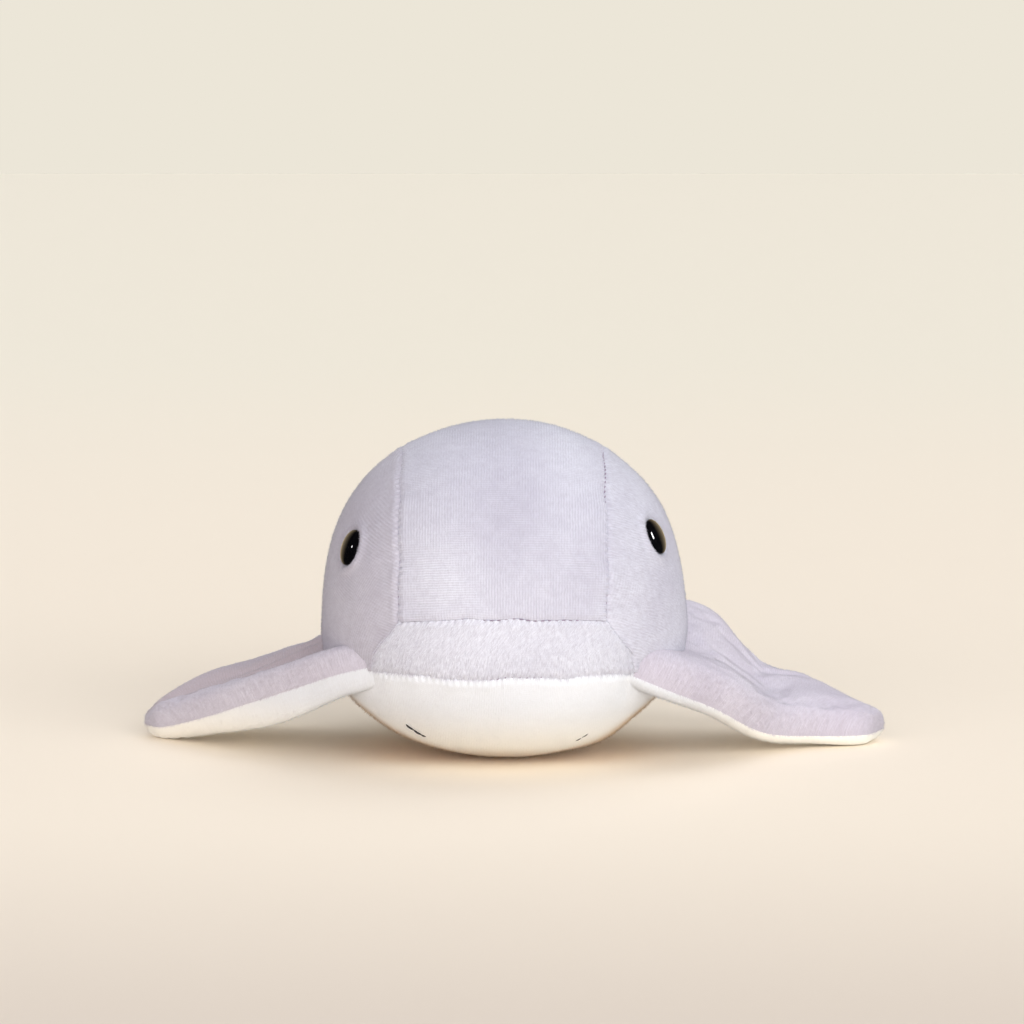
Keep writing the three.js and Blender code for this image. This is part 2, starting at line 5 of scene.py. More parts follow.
import bmesh
import bpy
import numpy as np
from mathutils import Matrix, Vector


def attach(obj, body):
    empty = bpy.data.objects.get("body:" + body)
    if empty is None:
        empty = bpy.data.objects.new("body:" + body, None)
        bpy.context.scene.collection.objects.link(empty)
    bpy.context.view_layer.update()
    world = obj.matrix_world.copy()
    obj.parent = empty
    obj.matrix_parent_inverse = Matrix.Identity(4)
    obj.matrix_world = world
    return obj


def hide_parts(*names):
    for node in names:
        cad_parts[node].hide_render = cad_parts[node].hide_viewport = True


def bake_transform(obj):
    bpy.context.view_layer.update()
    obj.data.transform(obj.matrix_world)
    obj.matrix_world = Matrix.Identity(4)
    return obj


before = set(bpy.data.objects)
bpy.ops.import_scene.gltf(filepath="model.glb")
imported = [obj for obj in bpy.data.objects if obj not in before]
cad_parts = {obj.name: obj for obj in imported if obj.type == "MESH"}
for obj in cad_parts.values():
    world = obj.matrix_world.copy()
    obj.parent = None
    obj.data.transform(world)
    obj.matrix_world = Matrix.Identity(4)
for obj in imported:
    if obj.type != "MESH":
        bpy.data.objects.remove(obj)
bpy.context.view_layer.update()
rng = np.random.default_rng(7)

# Body stuffing: loose polyester fibre, pushed in by hand through a gap in the belly seam, so the
# toy is firm but a little lumpy. All of the body's cloth is shaped over this form.

BODY_HALF_WIDTH = 65.5
BODY_FRONT, BODY_REAR = 66, 98
BODY_CROWN, BODY_BELLY = 72.3, 47.5
PLAN_FULLNESS, CROWN_FULLNESS, BELLY_FULLNESS = 2.1, 2.25, 1.95
BODY_LEVEL = 47
MIDDLE = np.array([0, 0, BODY_LEVEL])
CLOTH = 1.2
STUFFING_INSET, STUFFING_FLOOR, STUFFING_LUMPS = 2.6, 1.7, 1.5
LUMPS = np.array([[0.28, 1 / 9, 1 / 21, 0, 1], [0.24, -1 / 17, 0, 1 / 8, 0], [0.22, 0, 1 / 11, 1 / 19, 2]])
SLOPE_STEP, TINY = 0.01, 1e-9
MERGED_METRES, SHARP_ANGLE = 1e-6, 1.2


def gauge(offset):
    """Size of an offset from the middle, 1 on the skin: plan = (|x/width|^p + |y/depth|^p)^(1/p), then
    (plan^f + |z/height|^f)^(1/f), with sizes of their own before, behind, above and below."""
    x, y, z = np.moveaxis(np.abs(offset), -1, 0)
    low = offset[..., 2] < 0
    depth = np.where(offset[..., 1] < 0, BODY_FRONT, BODY_REAR)
    height = np.where(low, BODY_BELLY, BODY_CROWN)
    fullness = np.where(low, BELLY_FULLNESS, CROWN_FULLNESS)
    plan = ((x / BODY_HALF_WIDTH) ** PLAN_FULLNESS + (y / depth) ** PLAN_FULLNESS) ** (1 / PLAN_FULLNESS)
    return (plan ** fullness + (z / height) ** fullness) ** (1 / fullness)


def on_skin(place):
    """Skin point on the ray from the middle through a place: offset / gauge."""
    offset = place - MIDDLE
    return MIDDLE + offset / np.maximum(gauge(offset), TINY)[..., None]


def unit(way, least=TINY):
    """Directions divided by their lengths, or by a least length."""
    return way / np.maximum(np.linalg.norm(way, axis=-1, keepdims=True), least)


def skin_normal(place):
    """Direction out of the body: the gauge's slope, by small steps along the axes."""
    offset = place - MIDDLE
    steps = SLOPE_STEP * np.eye(3)
    return unit(np.stack([gauge(offset + step) - gauge(offset - step) for step in steps], -1))


def lumps(place):
    """Height of the hand-stuffed lumps: sine waves, each with a height, turns along x, y and z, and a
    start."""
    return np.sin(place @ LUMPS[:, 1:4].T + LUMPS[:, 4]) @ LUMPS[:, 0]


def linear(code):
    """Linear RGBA of an sRGB hex colour."""
    share = np.array([int(code[i:i + 2], 16) for i in (1, 3, 5)]) / 255
    share = np.where(share <= 0.04045, share / 12.92, ((share + 0.055) / 1.055) ** 2.4)
    return (*share.tolist(), 1)


def add(tree, kind, inputs=(), out=0, **settings):
    """Adds one node with its settings and gives one of its outputs. Inputs take a value or another's
    output."""
    made = tree.nodes.new("ShaderNode" + kind)
    for name, value in settings.items():
        setattr(made, name, value)
    for socket, value in dict(inputs).items():
        if isinstance(value, bpy.types.NodeSocket):
            tree.links.new(value, made.inputs[socket])
        else:
            made.inputs[socket].default_value = value
    return made.outputs[out] if len(made.outputs) else None


def new_finish(name, slot=None):
    """A material paired with the name of its slot, and what adds a node to its empty tree."""
    made = bpy.data.materials.new(name)
    made.use_nodes = True
    made.node_tree.nodes.clear()
    return (made, slot), partial(add, made.node_tree)


def placed(name, data):
    """A new object in the scene."""
    made = bpy.data.objects.new(name, data)
    bpy.context.scene.collection.objects.link(made)
    return made


def piece(name, places, faces, finish, uv=None, nap=None, knit=1.0, warm=0.0, normals=None):
    """Object at the origin from points in mm and their faces, merged at poles unless normals are given, as
    for pile. uv is the place on the flat cloth in mm; then come the painted sheen of the pile, lighter
    where it is taken to lean to the light, how far the knit shows, and the share of a painted ochre that
    stands for warm light from the table or warm shade."""
    mesh = bpy.data.meshes.new(name)
    mesh.from_pydata((places.reshape(-1, 3) / 1000).tolist(), [], faces.tolist())
    if uv is not None:
        corner = np.empty(len(mesh.loops), int)
        mesh.loops.foreach_get("vertex_index", corner)
        mesh.uv_layers.new(name="cloth_mm").data.foreach_set("uv", uv.reshape(-1, 2)[corner].ravel())
    if nap is not None:
        for kind, value in (("nap", nap), ("knit", knit), ("warm", warm)):
            value = np.broadcast_to(value, nap.shape).ravel()
            mesh.attributes.new(kind, "FLOAT", "POINT").data.foreach_set("value", value)
    if normals is None:
        work = bmesh.new()
        work.from_mesh(mesh)
        bmesh.ops.remove_doubles(work, verts=work.verts, dist=MERGED_METRES)
        work.to_mesh(mesh)
        work.free()
    mesh.shade_smooth()
    mesh.set_sharp_from_angle(angle=SHARP_ANGLE)
    if normals is not None:
        mesh.normals_split_custom_set_from_vertices(normals.reshape(-1, 3).tolist())
    material, slot = finish
    mesh.materials.append(material)
    made = placed(name, mesh)
    return made if slot else made


def fitted(part, body, bend=None):
    """Fixes a piece to a body. Given a bend, it only bakes the piece's place into its mesh and leaves it
    unfixed; the bend itself is not used. A piece is named for the node it stands for and what it is made
    of, stitches for their thread. Pile stands for no node."""
    if bend:
        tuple(bend[0])
        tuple(bend[1])
        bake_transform(part)
    else:
        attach(part, body)
    node, kind = part.name.rsplit("_", 1)
    if kind != "pile":
        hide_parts(f"{node}_thread" if kind == "stitches" else node)


def corners(grid):
    """The four corners of every cell of a grid, in order round the cell."""
    return [grid[:-1, :-1], grid[1:, :-1], grid[1:, 1:], grid[:-1, 1:]]


def cells(index):
    """Quads of a grid of point numbers."""
    return np.stack(corners(index), -1).reshape(-1, 4)


def globe(turns, rises):
    """Turn and rise over a ball from pole to pole, the directions (cos·sin, cos·cos, sin) of them, and its
    quads."""
    turn, rise = np.meshgrid(np.linspace(0, 2 * np.pi, turns), np.linspace(-np.pi / 2, np.pi / 2, rises))
    ways = np.stack([np.cos(rise) * np.sin(turn), np.cos(rise) * np.cos(turn), np.sin(rise)], -1)
    return turn, rise, ways, cells(np.arange(turn.size).reshape(turn.shape))


# Polyester fibre: white hollow fibres in a soft tangle, so it scatters light and has no gloss.
fibre_fill, node = new_finish("polyester_fibre_fill", "fibre_fill")
coords = node("TexCoord", out="Object")
tangle = node("TexNoise", {"Vector": coords, "Scale": 400, "Detail": 6, "Distortion": 2})
tone = node("Mix", {0: tangle, 6: linear("#e4e0da"), 7: linear("#fbfaf7")}, 2, data_type="RGBA")
relief = node("Bump", {"Height": tangle, "Distance": 0.001, "Strength": 0.7})
shader = node("BsdfPrincipled", {"Base Color": tone, "Normal": relief, "Roughness": 1, "Sheen Weight": 0.3})
node("OutputMaterial", {"Surface": shader})

ways, faces = globe(97, 49)[2:]
form = on_skin(MIDDLE + ways)
form = form - (STUFFING_INSET - STUFFING_LUMPS * lumps(form))[..., None] * skin_normal(form)
form[..., 2] = np.maximum(form[..., 2], STUFFING_FLOOR)
fitted(piece("body_stuffing_fibre", form, faces[:, ::-1], fibre_fill), "body")

# Crown panel: lavender short-pile plush, a knitted cloth with a brushed polyester pile. It runs from
# the snout over the top to the tail and is sewn right sides together, so its edges turn in at the seams.

CROWN_SEAM_FRONT, CROWN_SEAM_REAR = 36, 16
BELLY_SEAM = 36.2
SNOUT_ARCH, SNOUT_CORNER = 57.2, 55.2
BELLY_WAVER, SNOUT_WAVER, CROWN_WAVER = 0.5, 0.35, 0.25
STITCH = 2.5
SEAM_DIP, SHALLOW_SHARE, STITCH_PULL, SEAM_ROLL = 0.8, 0.45, 0.38, 2.2
WELT, WELT_PLACE, WELT_SPREAD = 0.15, 2.6, 1.7
PUCKER, PUCKER_PLACE, PUCKER_SPREAD = 0.1, 1.2, 1.1
SLACK, SLACK_REACH, SLACK_STITCHES, WELT_SLACK = 0.16, 6, 5.3, 0.35
CROWN_ROWS, CROWN_COLUMNS = 470, 57
# Painted sheen of the pile: its base, its slow waves and its patch of painted light.
PAINTED_SHEEN_BASE, PAINTED_SHEEN_WAVES, PAINTED_LIGHT_PATCH = 0.28, 0.12, 0.52
PILE_ROOT, PILE_SHADES, PILE_GLINT, PILE_LENGTHS = 0.2, 0.18, 0.16, (0.5, 1.2)
PILE_FACES = np.array([[0, 1, 3], [1, 2, 3], [2, 0, 3], [0, 2, 1]])
DOWN = (0, 0, -1)
ALL_SEAMS = ("top", "end", "left", "right")
KNIT_WALE, KNIT_COURSE = 0.95, 0.85
WAVE_BAND = 2 * np.pi / 20  # the wave texture has one band in this length at scale 1


def point(x, y, z):
    """Points from their three coordinates, each a number or an array."""
    return np.stack(np.broadcast_arrays(x, y, z), -1)


def meet(place, reach=200.0, halvings=40):
    """Where a path given as a function of its reach leaves the body: the reach is halved in on."""
    low, high = 0.0, reach
    for _ in range(halvings):
        reach = (low + high) / 2
        inside = gauge(place(reach) - MIDDLE) < 1
        low, high = np.where(inside, reach, low), np.where(inside, high, reach)
    return place(reach)


def bell(value, place, spread):
    """Bell curve: 1 at a place, and about a third at a spread away from it."""
    return np.exp(-((value - place) / spread) ** 2)


def eased(count):
    """Shares from -1 to 1 along a sine, closer together at both ends."""
    return np.sin(np.linspace(-np.pi / 2, np.pi / 2, count))


def crown_seam(y):
    """Half width of the crown panel: half a cosine from its front to its rear width."""
    share = np.clip(y / BODY_REAR, 0, 1)
    return CROWN_SEAM_FRONT + (CROWN_SEAM_REAR - CROWN_SEAM_FRONT) * (1 - np.cos(np.pi * share)) / 2


def snout_top(u):
    """Height of the snout's upper seam: a shallow arch, lowest at the two crown seams where u is 1."""
    return SNOUT_ARCH + (SNOUT_CORNER - SNOUT_ARCH) * u ** 2


def fan(place):
    """Angle of a place about the X axis through the body's middle, from straight ahead up over the crown."""
    return np.mod(np.arctan2(place[..., 2] - BODY_LEVEL, -place[..., 1]) + np.pi / 2, 2 * np.pi) - np.pi / 2


def crown(u, v):
    """Crown skin: v fans from the snout seam over the top to the belly seam, u is the share across to the
    seams."""
    ahead = meet(lambda r: point(u * CROWN_SEAM_FRONT, -r, snout_top(u)))
    behind = meet(lambda r: point(u * CROWN_SEAM_REAR, r, BELLY_SEAM))
    angle = fan(ahead) * (1 - v) + fan(behind) * v
    back, up = -np.cos(angle), np.sin(angle)
    return meet(lambda r: point(u * crown_seam(r * back), r * back, BODY_LEVEL + r * up))


def run(grid, axis):
    """Distance run along a grid from its first row (axis 0) or column (axis 1)."""
    steps = np.linalg.norm(np.diff(grid, axis=axis), axis=-1)
    return np.insert(np.cumsum(steps, axis=axis), 0, 0, axis=axis)


def sewn(place):
    """A body point moved by the waver of the sewing: sine waves along each seam, in a bell curve across
    it."""
    x, y, z = np.moveaxis(place, -1, 0)
    rise = BELLY_WAVER * np.sin((x + y) / 5.2 + np.sin(x / 3.7)) * bell(z, BELLY_SEAM, 5)
    rise += SNOUT_WAVER * np.sin(x / 4.1 + 2 * np.sin(x / 9)) * bell(z, SNOUT_ARCH, 4) * (y < 0)
    aside = CROWN_WAVER * np.sin(z / 4.4 + y / 6 + np.sign(x)) * bell(np.abs(x), CROWN_SEAM_FRONT, 6)
    return place + point(aside, 0, rise)


def turned_in(grid, seams, welt=WELT, shift=0.0, shallow=()):
    """Cloth of a panel between its seams. Near a seam it rises in a bell-shaped welt over the seam allowance,
    and at a distance d it dips by dip·(1-d/roll)², which the stitches deepen by a cosine along the seam,
    shifted to meet those of the next panel. Shallow seams, and what comes before the shift, dip less."""
    down, across = run(grid, 0), run(grid, 1)
    far = {"top": down, "end": down[-1:] - down, "left": across, "right": across[:, -1:] - across}
    along = {"top": across[:1], "end": across[-1:], "left": down[:, :1], "right": down[:, -1:]}
    height = lumps(grid)
    dip = np.zeros(height.shape)
    for seam in seams:
        pull = -np.cos(2 * np.pi * (along[seam] - shift) / STITCH)
        slack = np.sin(2 * np.pi * along[seam] / (SLACK_STITCHES * STITCH) + 1)
        bend = np.clip(1 - far[seam] / SEAM_ROLL, 0, 1) ** 2
        deep = np.where((along[seam] < shift) | (seam in shallow), SHALLOW_SHARE, 1)
        dip = np.maximum(dip, SEAM_DIP * deep * (1 - STITCH_PULL + STITCH_PULL * pull) * bend)
        height += welt * bell(far[seam], WELT_PLACE, WELT_SPREAD) * (1 + WELT_SLACK * slack)
        height -= PUCKER * pull * bell(far[seam], PUCKER_PLACE, PUCKER_SPREAD)
        height += SLACK * slack * np.exp(-far[seam] / SLACK_REACH)
    return sewn(grid) + (height - dip)[..., None] * skin_normal(grid)


def painted_nap_sheen(place):
    """Painted sheen of the pile, 0 where it is taken to lie away from the light to 1 towards it: slow sine
    waves, a bell-shaped patch of painted light and painted light rising towards the top."""
    x, y, z = np.moveaxis(place, -1, 0)
    # Painted light: a bright patch low on the front of the crown, towards the toy's right, and the top lit
    # more.
    patch = bell(x, -19, 15) * bell(z, 66, 17) * (y < 0) + 0.3 * np.clip((z - 95) / 20, 0, 1)
    waves = np.sin(x / 14 + z / 23 + 0.6) * np.sin(z / 17 - y / 29) + 0.6 * np.sin(x / 7 - z / 9 + y / 13)
    return PAINTED_SHEEN_BASE + PAINTED_SHEEN_WAVES * waves + PAINTED_LIGHT_PATCH * patch


def panel(name, outer, inner, finish, uv, closed=False, lift=0.0, knit=1.0, warm=0.0):
    """Sheet of cloth between an outer and an inner grid, joined round their rims, with its faces turned
    outwards. A closed one meets itself across its columns. Its lift is painted light: it raises the
    painted sheen of its nap, and lowers it where negative."""
    rows, columns = outer.shape[:2]
    low = rows * columns
    top = np.arange(low).reshape(rows, columns)
    top = np.hstack([top, top[:, :1]]) if closed else top
    rim = top[0] if closed else np.concatenate([top[0, :-1], top[:-1, -1], top[-1, :0:-1], top[::-1, 0]])
    here, ahead = rim[:-1], rim[1:]
    quads = cells(top)
    faces = np.vstack([quads, quads[:, ::-1] + low, np.stack([here, ahead, ahead + low, here + low], -1)])
    a, b, c = (outer.reshape(-1, 3)[quads[:, k]] for k in range(3))
    outward = (np.cross(b - a, c - b) * (a - inner.reshape(-1, 3)[quads[:, 0]])).sum()
    places = np.stack([outer, inner])
    return piece(name, places, faces if outward > 0 else faces[:, ::-1], finish, np.stack([uv, uv]),
                 painted_nap_sheen(places) + lift, knit, warm)


def ring(count, ahead, aside):
    """Directions at even turns round an axis: cos·ahead + sin·aside."""
    turn = 2 * np.pi * np.arange(count)[:, None] / count
    return np.cos(turn) * ahead[..., None, :] + np.sin(turn) * aside[..., None, :]


def pile(name, grid, out, flat, finish, count, length, comb=DOWN, lean=0.9, scatter=0.35, weight=1.0,
         lift=0.0, radius=0.09, warm=0.0):
    """Tips of pile on a cloth: thin three-sided spikes, rooted at random over the grid's cells by area times
    weight. Each points along out + lean·comb, scattered at random."""
    first, second, third, fourth = corners(grid)
    odds = np.linalg.norm(np.cross(third - first, fourth - second), axis=-1)
    odds = odds * (weight * np.ones(grid.shape[:2]))[:-1, :-1]
    chosen = np.searchsorted(np.cumsum(odds.ravel()) / odds.sum(), rng.random(count))
    row, column = np.unravel_index(np.minimum(chosen, odds.size - 1), odds.shape)
    u, v = rng.random((2, count, 1))

    def at(field):
        """Field at the roots, straight between a cell's four corners."""
        a, b, c, d = (corner[row, column] for corner in corners(field))
        return (a * (1 - u) + b * u) * (1 - v) + (d * (1 - u) + c * u) * v

    root, upright = at(grid), unit(at(out))
    along = unit(upright + lean * np.array(comb) + scatter * rng.normal(size=(count, 3)))
    aside = unit(np.cross(along, [0.3, 0.5, 0.8]))
    foot = (root - PILE_ROOT * upright)[:, None] + radius * ring(3, aside, np.cross(along, aside))
    tip = root + length * rng.uniform(*PILE_LENGTHS, (count, 1)) * along
    places = np.concatenate([foot, tip[:, None]], 1)
    faces = (4 * np.arange(count)[:, None, None] + PILE_FACES).reshape(-1, 3)
    # Each tip's painted sheen, raised by its painted lightness and varied at random, and its share of painted
    # ochre for warm light or shade, taken from the cloth.
    nap = painted_nap_sheen(places) + lift + PILE_SHADES * rng.normal(size=(count, 1))
    facing = upright + PILE_GLINT * rng.normal(size=(count, 3))
    warm = at(np.broadcast_to(warm, grid.shape[:2])[..., None])
    uv, normals = np.repeat(at(flat), 4, 0), np.repeat(facing, 4, 0)
    made = piece(name, places, faces, finish, uv, nap, 0, warm, normals)
    made.visible_shadow = made.visible_diffuse = False
    return made


def body_panel(name, skin, cloth, flat, finish, tips, inner=None, **look):
    """A panel of the body and its pile. Its inner side lies a cloth's thickness down, unless it is given."""
    out = skin_normal(skin)
    inner = cloth - CLOTH * out if inner is None else inner
    fitted(panel(f"{name}_plush", cloth, inner, finish, flat, **look), "body")
    fitted(pile(f"{name}_pile", cloth, out, flat, finish, **tips), "body")


def plush(name, slot, shade, body, light, rib, sheen, cream):
    """Short-pile plush: knit ribs on the flat cloth's millimetres, along or across it from patch to patch,
    and combed pile over them. Painted light is mixed into its colour: painted sheen where the nap is
    taken to lean to the light, painted shade in the hollows of the knit and pile, painted cream bounce
    light from the table low down, and a painted ochre of warm light or warm shade by a given share."""
    finish, node = new_finish(name, slot)
    flat = node("UVMap", uv_map="cloth_mm")
    shown, nap, warm = (node("Attribute", out=2, attribute_name=kind) for kind in ("knit", "nap", "warm"))
    wavy = {"Vector": flat, "Distortion": 3.2, "Detail": 4, "Detail Scale": 0.8, "Detail Roughness": 0.75}
    wales, courses = (node("TexWave", {**wavy, "Scale": WAVE_BAND / pitch}, 1, bands_direction=way)
                      for pitch, way in ((KNIT_WALE, "X"), (KNIT_COURSE, "Y")))
    patches, fading, cloudy = (
        node("TexNoise", {"Vector": flat, "Scale": scale, "Detail": detail, "Roughness": rough})
        for scale, detail, rough in ((0.04, 2, 0.5), (0.25, 5, 0.75), (0.16, 4, 0.65)))
    turned = node("MapRange", {0: patches, 1: 0.4, 2: 0.62})
    knit = node("Mix", {0: turned, 2: wales, 3: courses})
    depth = node("MapRange", {0: fading, 1: 0.35, 2: 0.7, 3: 0.25 * rib, 4: rib})
    depth = node("Math", {0: depth, 1: shown}, operation="MULTIPLY")
    combed = node("Mapping", {"Vector": flat, "Scale": (1.9, 0.45, 1)})
    tufts = node("TexNoise", {"Vector": combed, "Scale": 1.0, "Detail": 5, "Roughness": 0.75})
    tufts = node("Math", {0: tufts, 1: 0.5}, operation="SUBTRACT")
    furry = node("MapRange", {0: shown, 3: 1.6, 4: 1})
    tufts = node("Math", {0: tufts, 1: furry, 2: 0.5}, operation="MULTIPLY_ADD")
    height = node("Math", {0: knit, 1: depth, 2: tufts}, operation="MULTIPLY_ADD")
    relief = node("Bump", {"Height": height, "Distance": 0.0004, "Strength": 0.5})
    # Painted sheen: cloudy noise and the nap's painted sheen give the share of the lighter colour.
    painted_sheen_share = node("Math", {0: cloudy, 1: 0.5, 2: nap}, operation="MULTIPLY_ADD")
    painted_sheen_share = node("MapRange", {0: painted_sheen_share, 1: 0.3, 2: 1.2})
    # Painted shade: the hollows of the knit and pile are darkened towards the shade colour.
    full = node("MapRange", {0: shown, 3: 0.67, 4: 0.85})
    painted_hollow_shade = node("MapRange", {0: height, 1: 0.3, 2: full, 3: 0.5, 4: 0})
    # Painted bounce light from the table: cream by a share that grows from nothing at 28 mm to full at 3 mm.
    level = node("SeparateXYZ", {"Vector": node("TexCoord", out="Object")}, 2)
    low = node("MapRange", {0: level, 1: 0.003, 2: 0.028, 3: cream, 4: 0}, interpolation_type="SMOOTHSTEP")
    tone = linear(body)
    # Lighter by the painted sheen, shade colour in the painted hollow shade, cream by the painted bounce
    # light, and ochre, painted warm light or shade, by its given share.
    for share, colour in ((painted_sheen_share, light), (painted_hollow_shade, shade), (low, "#fffcf2"), (warm, "#bd8d35")):
        tone = node("Mix", {0: share, 6: tone, 7: linear(colour)}, 2, data_type="RGBA")
    shader = node("BsdfPrincipled", {
        "Base Color": tone, "Normal": relief, "Roughness": 0.9, "Specular IOR Level": 0.15,
        "Sheen Weight": sheen, "Sheen Roughness": 0.4, "Sheen Tint": linear(light)})
    node("OutputMaterial", {"Surface": shader})
    return finish


# Lavender plush: solution-dyed polyester pile about a millimetre long, cut and brushed. It is matt, is
# painted lighter as sheen where the pile is taken to lean towards the light, and shows the knit's fine
# rows where the pile parts.
lavender_plush = plush("short_pile_lavender_plush", "lavender_plush", "#9d97a6", "#c0bfce", "#e5e7f1",
                       0.55, 0.2, 0)

crown_skin = crown(*np.meshgrid(eased(CROWN_COLUMNS), np.linspace(0, 1, CROWN_ROWS)))
crown_flat = np.stack([crown_skin[..., 0], run(crown_skin, 0)], -1)
body_panel("crown_panel", crown_skin, turned_in(crown_skin, ALL_SEAMS), crown_flat, lavender_plush,
           dict(count=26000, length=0.75))

# Snout panel: the same lavender plush in a strip across the face, with its pile brushed downwards. It is
# sewn to the crown above, to the cheeks at its slanting sides and to the white belly below.

# Half width and height of its foot, shoulder and corner.
SNOUT_SIDE = np.array([[45.5, 36.2], [44.4, 43.6], [36, 55.2]])
SNOUT_ROWS, SNOUT_COLUMNS = 61, 190
SNOUT_CUT, SNOUT_KNIT = 400, 0.15
# Painted lightness of the snout's nap, and the run over which it grows towards the toy's right.
SNOUT_PAINTED_LIGHTNESS, SNOUT_PAINTED_LIGHTNESS_RUN = 0.6, 180


def snout_half(height):
    """Half width of the snout panel at a height: straight lines through its foot, shoulder and corner."""
    return np.interp(height, SNOUT_SIDE[:, 1], SNOUT_SIDE[:, 0])


def snout_edge(height):
    """Points of the snout's side on the toy's left at some heights."""
    return meet(lambda r: point(snout_half(height), -r, height))


def snout(u, v):
    """Snout skin: v rises from the belly seam to the arch of the upper seam, and u goes across between the
    sides."""
    side = BELLY_SEAM + v * (SNOUT_CORNER - BELLY_SEAM)
    height = BELLY_SEAM + v * (snout_top(u) - BELLY_SEAM)
    return meet(lambda r: point(u * snout_half(side), -r, height))


snout_skin = snout(*np.meshgrid(np.linspace(-1, 1, SNOUT_COLUMNS), eased(SNOUT_ROWS) / 2 + 0.5))
snout_flat = np.stack([run(snout_skin, 1), SNOUT_CUT + run(snout_skin, 0)], -1)
# The snout is painted lighter, more so towards the toy's right, and its pile painted lighter too.
body_panel("snout_panel", snout_skin, turned_in(snout_skin, ALL_SEAMS, shallow=("left", "right")), snout_flat,
           lavender_plush, dict(count=12000, length=1.6, lean=1.3, scatter=0.25, lift=0.5, radius=0.085),
           lift=SNOUT_PAINTED_LIGHTNESS - snout_skin[..., 0] / SNOUT_PAINTED_LIGHTNESS_RUN, knit=SNOUT_KNIT)

# Cheek panels: lavender plush cut on the bias, so its knit rows slant. Each goes from the snout and the
# crown seam down to the belly seam, and is drawn in round the eye by the eye's washer.

CHEEK_ROWS, CHEEK_COLUMNS, SEAM_POINTS = 400, 111, 60
CHEEK_CUT = 800
EYES = {"left": (1, -28, 81.5), "right": (-1, -31, 78)}
EYE_RADIUS, EYE_SINK = 6.5, 2.0
COLLAR_PLACE, COLLAR_SPREAD, COLLAR_AHEAD = 1.5, 1.7, 0.35
PRESSED_PLACE, PRESSED_SPREAD = -0.1, 0.3
COLLAR_PILE = 6
# By side: the slant of the knit, the seams' welt, the nap's painted lightness (lighter on the lit cheek,
# darker on the shaded one), how far the knit shows, and a painted warm tint in the shaded cheek.
CHEEKS = {1: (1.15, 0.15, 0.14, 0.35, 0), -1: (-1.2, 0.2, -0.14, 1.0, 0.04)}


def at_run(line, place, road):
    """Points at some distances along a line, whose own points are at the distances of its road."""
    return np.stack([np.interp(place, road, line[:, axis]) for axis in range(3)], -1)


def respaced(line, count):
    """The same line with a number of points at even distances along it."""
    road = run(line, 0)
    return at_run(line, np.linspace(0, road[-1], count), road)


def belly_seam(turn):
    """Point of the belly seam at an angle about the upright axis, from straight ahead towards the toy's
    left."""
    return meet(lambda r: point(r * np.sin(turn), -r * np.cos(turn), BELLY_SEAM))


def cheek(side, t):
    """Cheek skin: straight lines from the belly seam (t = 0) to the snout's side and the crown seam (t = 1),
    at equal shares of both lengths, pushed out onto the body."""
    face = snout_edge(np.linspace(BELLY_SEAM, SNOUT_CORNER, SEAM_POINTS))
    upper = np.vstack([face, crown_skin[1:, -1]])
    foot, heel = (np.arctan2(upper[end, 0], -upper[end, 1]) for end in (0, -1))
    lower = respaced(belly_seam(np.linspace(foot, heel, CHEEK_ROWS)), CHEEK_ROWS)
    upper = respaced(upper, CHEEK_ROWS)
    grid = on_skin(lower[:, None] * (1 - t)[None, :, None] + upper[:, None] * t[None, :, None])
    return grid * [side, 1, 1]


def eye_seat(side, along, height):
    """Point of the skin under an eye and the direction straight out of it."""
    seat = meet(lambda r: point(side * r, along, height))
    return seat, skin_normal(seat)


def eye_collar(away, ahead):
    """Height of the cloth at distances away from an eye's rim: a smooth step down under the dome, and a
    bell-shaped ring outside it that is highest ahead."""
    pressed = 1 / (1 + np.exp((away - PRESSED_PLACE) / PRESSED_SPREAD))
    swollen = 1 - COLLAR_AHEAD + COLLAR_AHEAD * np.tanh(ahead / 4)
    return swollen * bell(away, COLLAR_PLACE, COLLAR_SPREAD) - EYE_SINK * pressed


for name, (side, *place) in EYES.items():
    slant, welt, lift, knit, warm = CHEEKS[side]
    skin = cheek(side, eased(CHEEK_COLUMNS) / 2 + 0.5)
    seat = eye_seat(side, *place)[0]
    away = np.linalg.norm(skin - seat, axis=-1) - EYE_RADIUS
    y, z = skin[..., 1], skin[..., 2]
    cloth = turned_in(skin, ["left", "right"], welt, shift=run(snout_skin[:, -1], 0)[-1])
    cloth = cloth + eye_collar(away, seat[1] - y)[..., None] * skin_normal(skin)
    flat = np.stack([y * np.cos(slant) + z * np.sin(slant), z * np.cos(slant) - y * np.sin(slant)], -1)
    weight = (away > 0.2) * (1 + COLLAR_PILE * bell(away, 1, COLLAR_PLACE))
    body_panel(f"{name}_cheek_panel", skin, cloth, flat + CHEEK_CUT, lavender_plush,
               dict(count=20000, length=0.8, weight=weight, lift=lift, warm=warm),
               lift=lift, knit=knit, warm=warm)

# Belly panel: white plush of the same make, one cup-shaped panel under the whole body. It is sewn to the
# snout, cheeks and crown all round, and flat where the toy rests on it.

BELLY_ROWS, BELLY_COLUMNS = 46, 860
BELLY_WELT, BELLY_PAINTED_LIGHTNESS, BELLY_SAG, BELLY_CREASE = 0.2, 0.4, 1.8, 0.9
# Shares of painted warm light from the table, an ochre, low on the flanks and at the foot.
FLANK_PAINTED_LIGHT, FOOT_PAINTED_LIGHT = 0.9, 0.42


